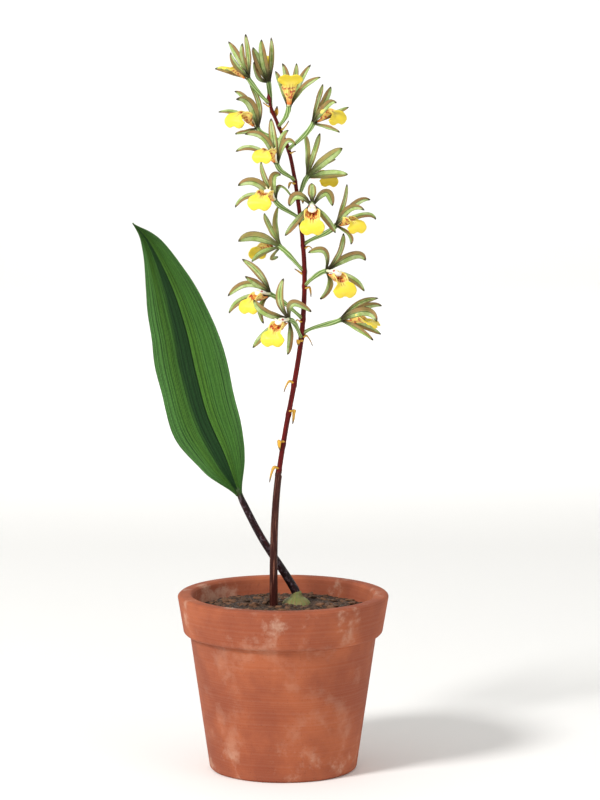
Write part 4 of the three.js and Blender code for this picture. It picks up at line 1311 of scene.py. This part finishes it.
class LeafOperator(bpy.types.Operator):
    """Make the pleated blade, and the petiole that runs on as a ridge behind the midrib"""

    bl_idname = "orchid.leaf"
    bl_label = "Leaf"

    def execute(self, context):
        settings = context.scene.orchid_leaf
        mesh = new_mesh()
        add_blade_of_leaf(mesh, settings)
        skins = [blade_finish(settings, True), blade_finish(settings, False)]
        place_piece(mesh, "leaf_blade", skins, "leaf", "leaf")
        steps = 20
        stalk = line_through(PETIOLE_LINE)
        foot = [stalk.at(k / steps) for k in range(steps)]
        behind = []
        for k, (at, _, _, normal) in enumerate(midrib_frames(steps)):
            behind.append(at - normal * mix(1.5, 0.3, (k / steps) ** 0.6))
        path = line_through([foot[0] - UP * 1.2, *foot, *behind[1:]])
        top = sum((b - a).length for a, b in zip(foot, foot[1:])) / path.reached[-1]

        def radius(share, turn):
            stem = mix(PETIOLE_FOOT_RADIUS, PETIOLE_TOP_RADIUS, min(1, share / top) ** 0.5)
            rib = mix(1, 0.2, max(0, (share - top) / (1 - top)) ** 0.5)
            return stem * rib * (1 + 0.04 * cos(TURN * 5 * turn))

        mesh = new_mesh()
        add_stem(mesh, path, Vector((0, 1, 0)), PETIOLE_GRID, radius)
        place_piece(mesh, "petiole", [petiole_finish(settings)], "leaf", "leaf")
        return {"FINISHED"}


class ScapeOperator(bpy.types.Operator):
    """Make the stalk with its sheath, its bracts and the bud at its tip"""

    bl_idname = "orchid.scape"
    bl_label = "Scape"

    def execute(self, context):
        settings = context.scene.orchid_scape
        skin, gold = scape_finish(settings), bract_finish(settings)
        line = scape_line()
        bracts = list(STEM_BRACTS)
        joints = [foot for foot, _, _ in STEM_BRACTS]
        for _, flower in flowers():
            bracts.append((flower.height - FLOWER_BRACT_DROP, flower.bract, FLOWER_BRACT_WIDTH))
            joints.append(flower.height)

        def stalk_radius(share, turn):
            height = line.at(share).z
            knots = sum(0.22 * bell(height, joint - 1.5, 1.3) for joint in joints)
            ridges = 0.035 * cos(TURN * 7 * turn + height * 0.05)
            return scape_radius(height) * (1 + ridges) + knots * (height < BUD_FOOT - 2)

        mesh = new_mesh()
        add_stem(mesh, line, Vector((1, 0, 0)), STALK_GRID, stalk_radius)
        place_piece(mesh, "stalk", [skin], "scape", "scape")
        foot, top = share_at(line, SOIL_HEIGHT - 4), share_at(line, SHEATH_TOP + 2)
        steps = 80
        cover = Line([line.at(mix(foot, top, k / steps)) for k in range(steps + 1)])

        def sheath_radius(share, turn):
            body = mix(SHEATH_FOOT_RADIUS, SHEATH_RADIUS, share)
            lip = 0.2 * bell(share, 0.955, 0.012)
            slant = 0.965 + 0.02 * cos(TURN * (turn - 0.5))
            closed = ease(slant, slant + 0.015, share)
            ridges = 0.03 * cos(TURN * 9 * turn)
            return mix(body * (1 + ridges) + lip, STALK_RADIUS * 0.9, closed)

        mesh = new_mesh()
        add_stem(mesh, cover, Vector((1, 0, 0)), SHEATH_GRID, sheath_radius)
        place_piece(mesh, "sheath", [skin], "scape", "scape")
        mesh = new_mesh()
        for foot, tip, width in bracts:
            add_bract(mesh, line, foot, tip, width)
        place_piece(mesh, "bracts", [gold, gold], "scape", "scape")
        return {"FINISHED"}


class TepalsOperator(bpy.types.Operator):
    """Make the sepals, petals and ovary of every flower"""

    bl_idname = "orchid.tepals"
    bl_label = "Sepals, petals and ovaries"

    def execute(self, context):
        settings = context.scene.orchid_flower
        skins = [tepal_finish(settings, True), tepal_finish(settings, False)]
        stalk = ovary_finish(settings)
        line = scape_line()
        for number, flower in flowers():
            draw = random.Random(number)
            mesh = new_mesh()
            for index in range(5):
                add_tepal(mesh, flower, draw, index, settings.thickness / MM)
            place_part(mesh, "tepals", skins, "bloom", number)
            mesh = new_mesh()
            add_ovary(mesh, flower, line)
            place_part(mesh, "ovary", [stalk], "bloom", number)
        return {"FINISHED"}


class LipsOperator(bpy.types.Operator):
    """Make the lip of every flower"""

    bl_idname = "orchid.lips"
    bl_label = "Lips"

    def execute(self, context):
        settings = context.scene.orchid_lip
        skins = [lip_finish(settings, False), lip_finish(settings, True)]
        for number, flower in flowers():
            mesh = new_mesh()
            add_lip(mesh, flower, settings.thickness / MM)
            place_part(mesh, "labellum", skins, "lip", number)
        return {"FINISHED"}


class ColumnsOperator(bpy.types.Operator):
    """Make the column of every flower"""

    bl_idname = "orchid.columns"
    bl_label = "Columns"

    def execute(self, context):
        skin = column_finish(context.scene.orchid_lip)
        for number, flower in flowers():
            mesh = new_mesh()
            add_column(mesh, flower)
            place_part(mesh, "gynostemium", [skin], "column", number)
        return {"FINISHED"}


class StudioOperator(bpy.types.Operator):
    """Make the pale floor and backdrop, the soft lights and the camera"""

    bl_idname = "orchid.studio"
    bl_label = "Studio"

    def execute(self, context):
        settings = context.scene.orchid_studio
        mesh = bmesh.new()
        sweep = bmesh.ops.create_grid(mesh, x_segments=2, y_segments=160, size=FLOOR_REACH)
        quarter = pi / 2
        for vert in sweep["verts"]:
            run = vert.co.y
            bent = min(max(run - BEND_START, 0.0) / BEND_RADIUS, quarter)
            rise = BEND_RADIUS * (1 - cos(bent)) + max(0.0, run - BEND_START - BEND_RADIUS * quarter)
            vert.co = (vert.co.x, min(run, BEND_START) + BEND_RADIUS * sin(bent), rise)
        floor = new_object("sweep", mesh)
        floor.data.shade_smooth()
        paper = Finish("paper")
        grain = paper.noise(paper.place(), 0.4)
        shade = paper.coats(settings.backdrop, (grain * 0.05, paint("#d8d6d0")))
        floor.data.materials.append(paper.done(shade, grain.rise(0, 1, 0.85, 0.95)))
        for name, spot, target, size in LIGHTS:
            lamp = bpy.data.lights.new(name, "AREA")
            lamp.energy, lamp.shape, lamp.size = getattr(settings, name), "DISK", size
            light = bpy.data.objects.new(name, lamp)
            light.location = spot
            light.rotation_euler = (target - spot).to_track_quat("-Z", "Y").to_euler()
            context.collection.objects.link(light)
        world = bpy.data.worlds.new("studio")
        world.use_nodes = True
        sky = world.node_tree.nodes["Background"].inputs
        sky["Color"].default_value = (1, 1, 1, 1)
        sky["Strength"].default_value = settings.sky
        context.scene.world = world
        context.scene.view_settings.view_transform = "Standard"
        lens = bpy.data.cameras.new("view")
        lens.sensor_fit = "VERTICAL"
        lens.lens = lens.sensor_height / (VIEW_HEIGHT * MM / VIEW_DISTANCE)
        camera = bpy.data.objects.new("view", lens)
        tilt = radians(VIEW_TILT)
        away = Vector((0, -cos(tilt), sin(tilt)))
        camera.location = VIEW_CENTRE * MM + away * VIEW_DISTANCE
        camera.rotation_euler = away.to_track_quat("Z", "Y").to_euler()
        context.collection.objects.link(camera)
        context.scene.camera = camera
        return {"FINISHED"}


SETTINGS = {
    "orchid_pot": PotSettings,
    "orchid_soil": SoilSettings,
    "orchid_leaf": LeafSettings,
    "orchid_scape": ScapeSettings,
    "orchid_flower": FlowerSettings,
    "orchid_lip": LipSettings,
    "orchid_studio": StudioSettings,
}
OPERATORS = [
    PotOperator, SoilOperator, BulbOperator, LeafOperator, ScapeOperator, TepalsOperator, LipsOperator,
    ColumnsOperator, StudioOperator,
]


class OrchidPanel(bpy.types.Panel):
    """Lists the settings and the pieces"""

    bl_idname = "VIEW3D_PT_orchid"
    bl_label = "Potted orchid"
    bl_space_type = "VIEW_3D"
    bl_region_type = "UI"
    bl_category = "Orchid"

    def draw(self, context):
        for name, group in SETTINGS.items():
            box = self.layout.box()
            for setting in group.__annotations__:
                box.prop(getattr(context.scene, name), setting)
        for operator in OPERATORS:
            self.layout.operator(operator.bl_idname)


def register():
    for group in [*SETTINGS.values(), *OPERATORS, OrchidPanel]:
        bpy.utils.register_class(group)
    for name, group in SETTINGS.items():
        setattr(bpy.types.Scene, name, bpy.props.PointerProperty(type=group))


def unregister():
    for name in SETTINGS:
        delattr(bpy.types.Scene, name)
    for group in reversed([*SETTINGS.values(), *OPERATORS, OrchidPanel]):
        bpy.utils.unregister_class(group)


def main():
    register()
    for name in ("pot", "soil", "bulb", "leaf", "scape", "tepals", "lips", "columns", "studio"):
        getattr(bpy.ops.orchid, name)()


if __name__ == "__main__":
    main()
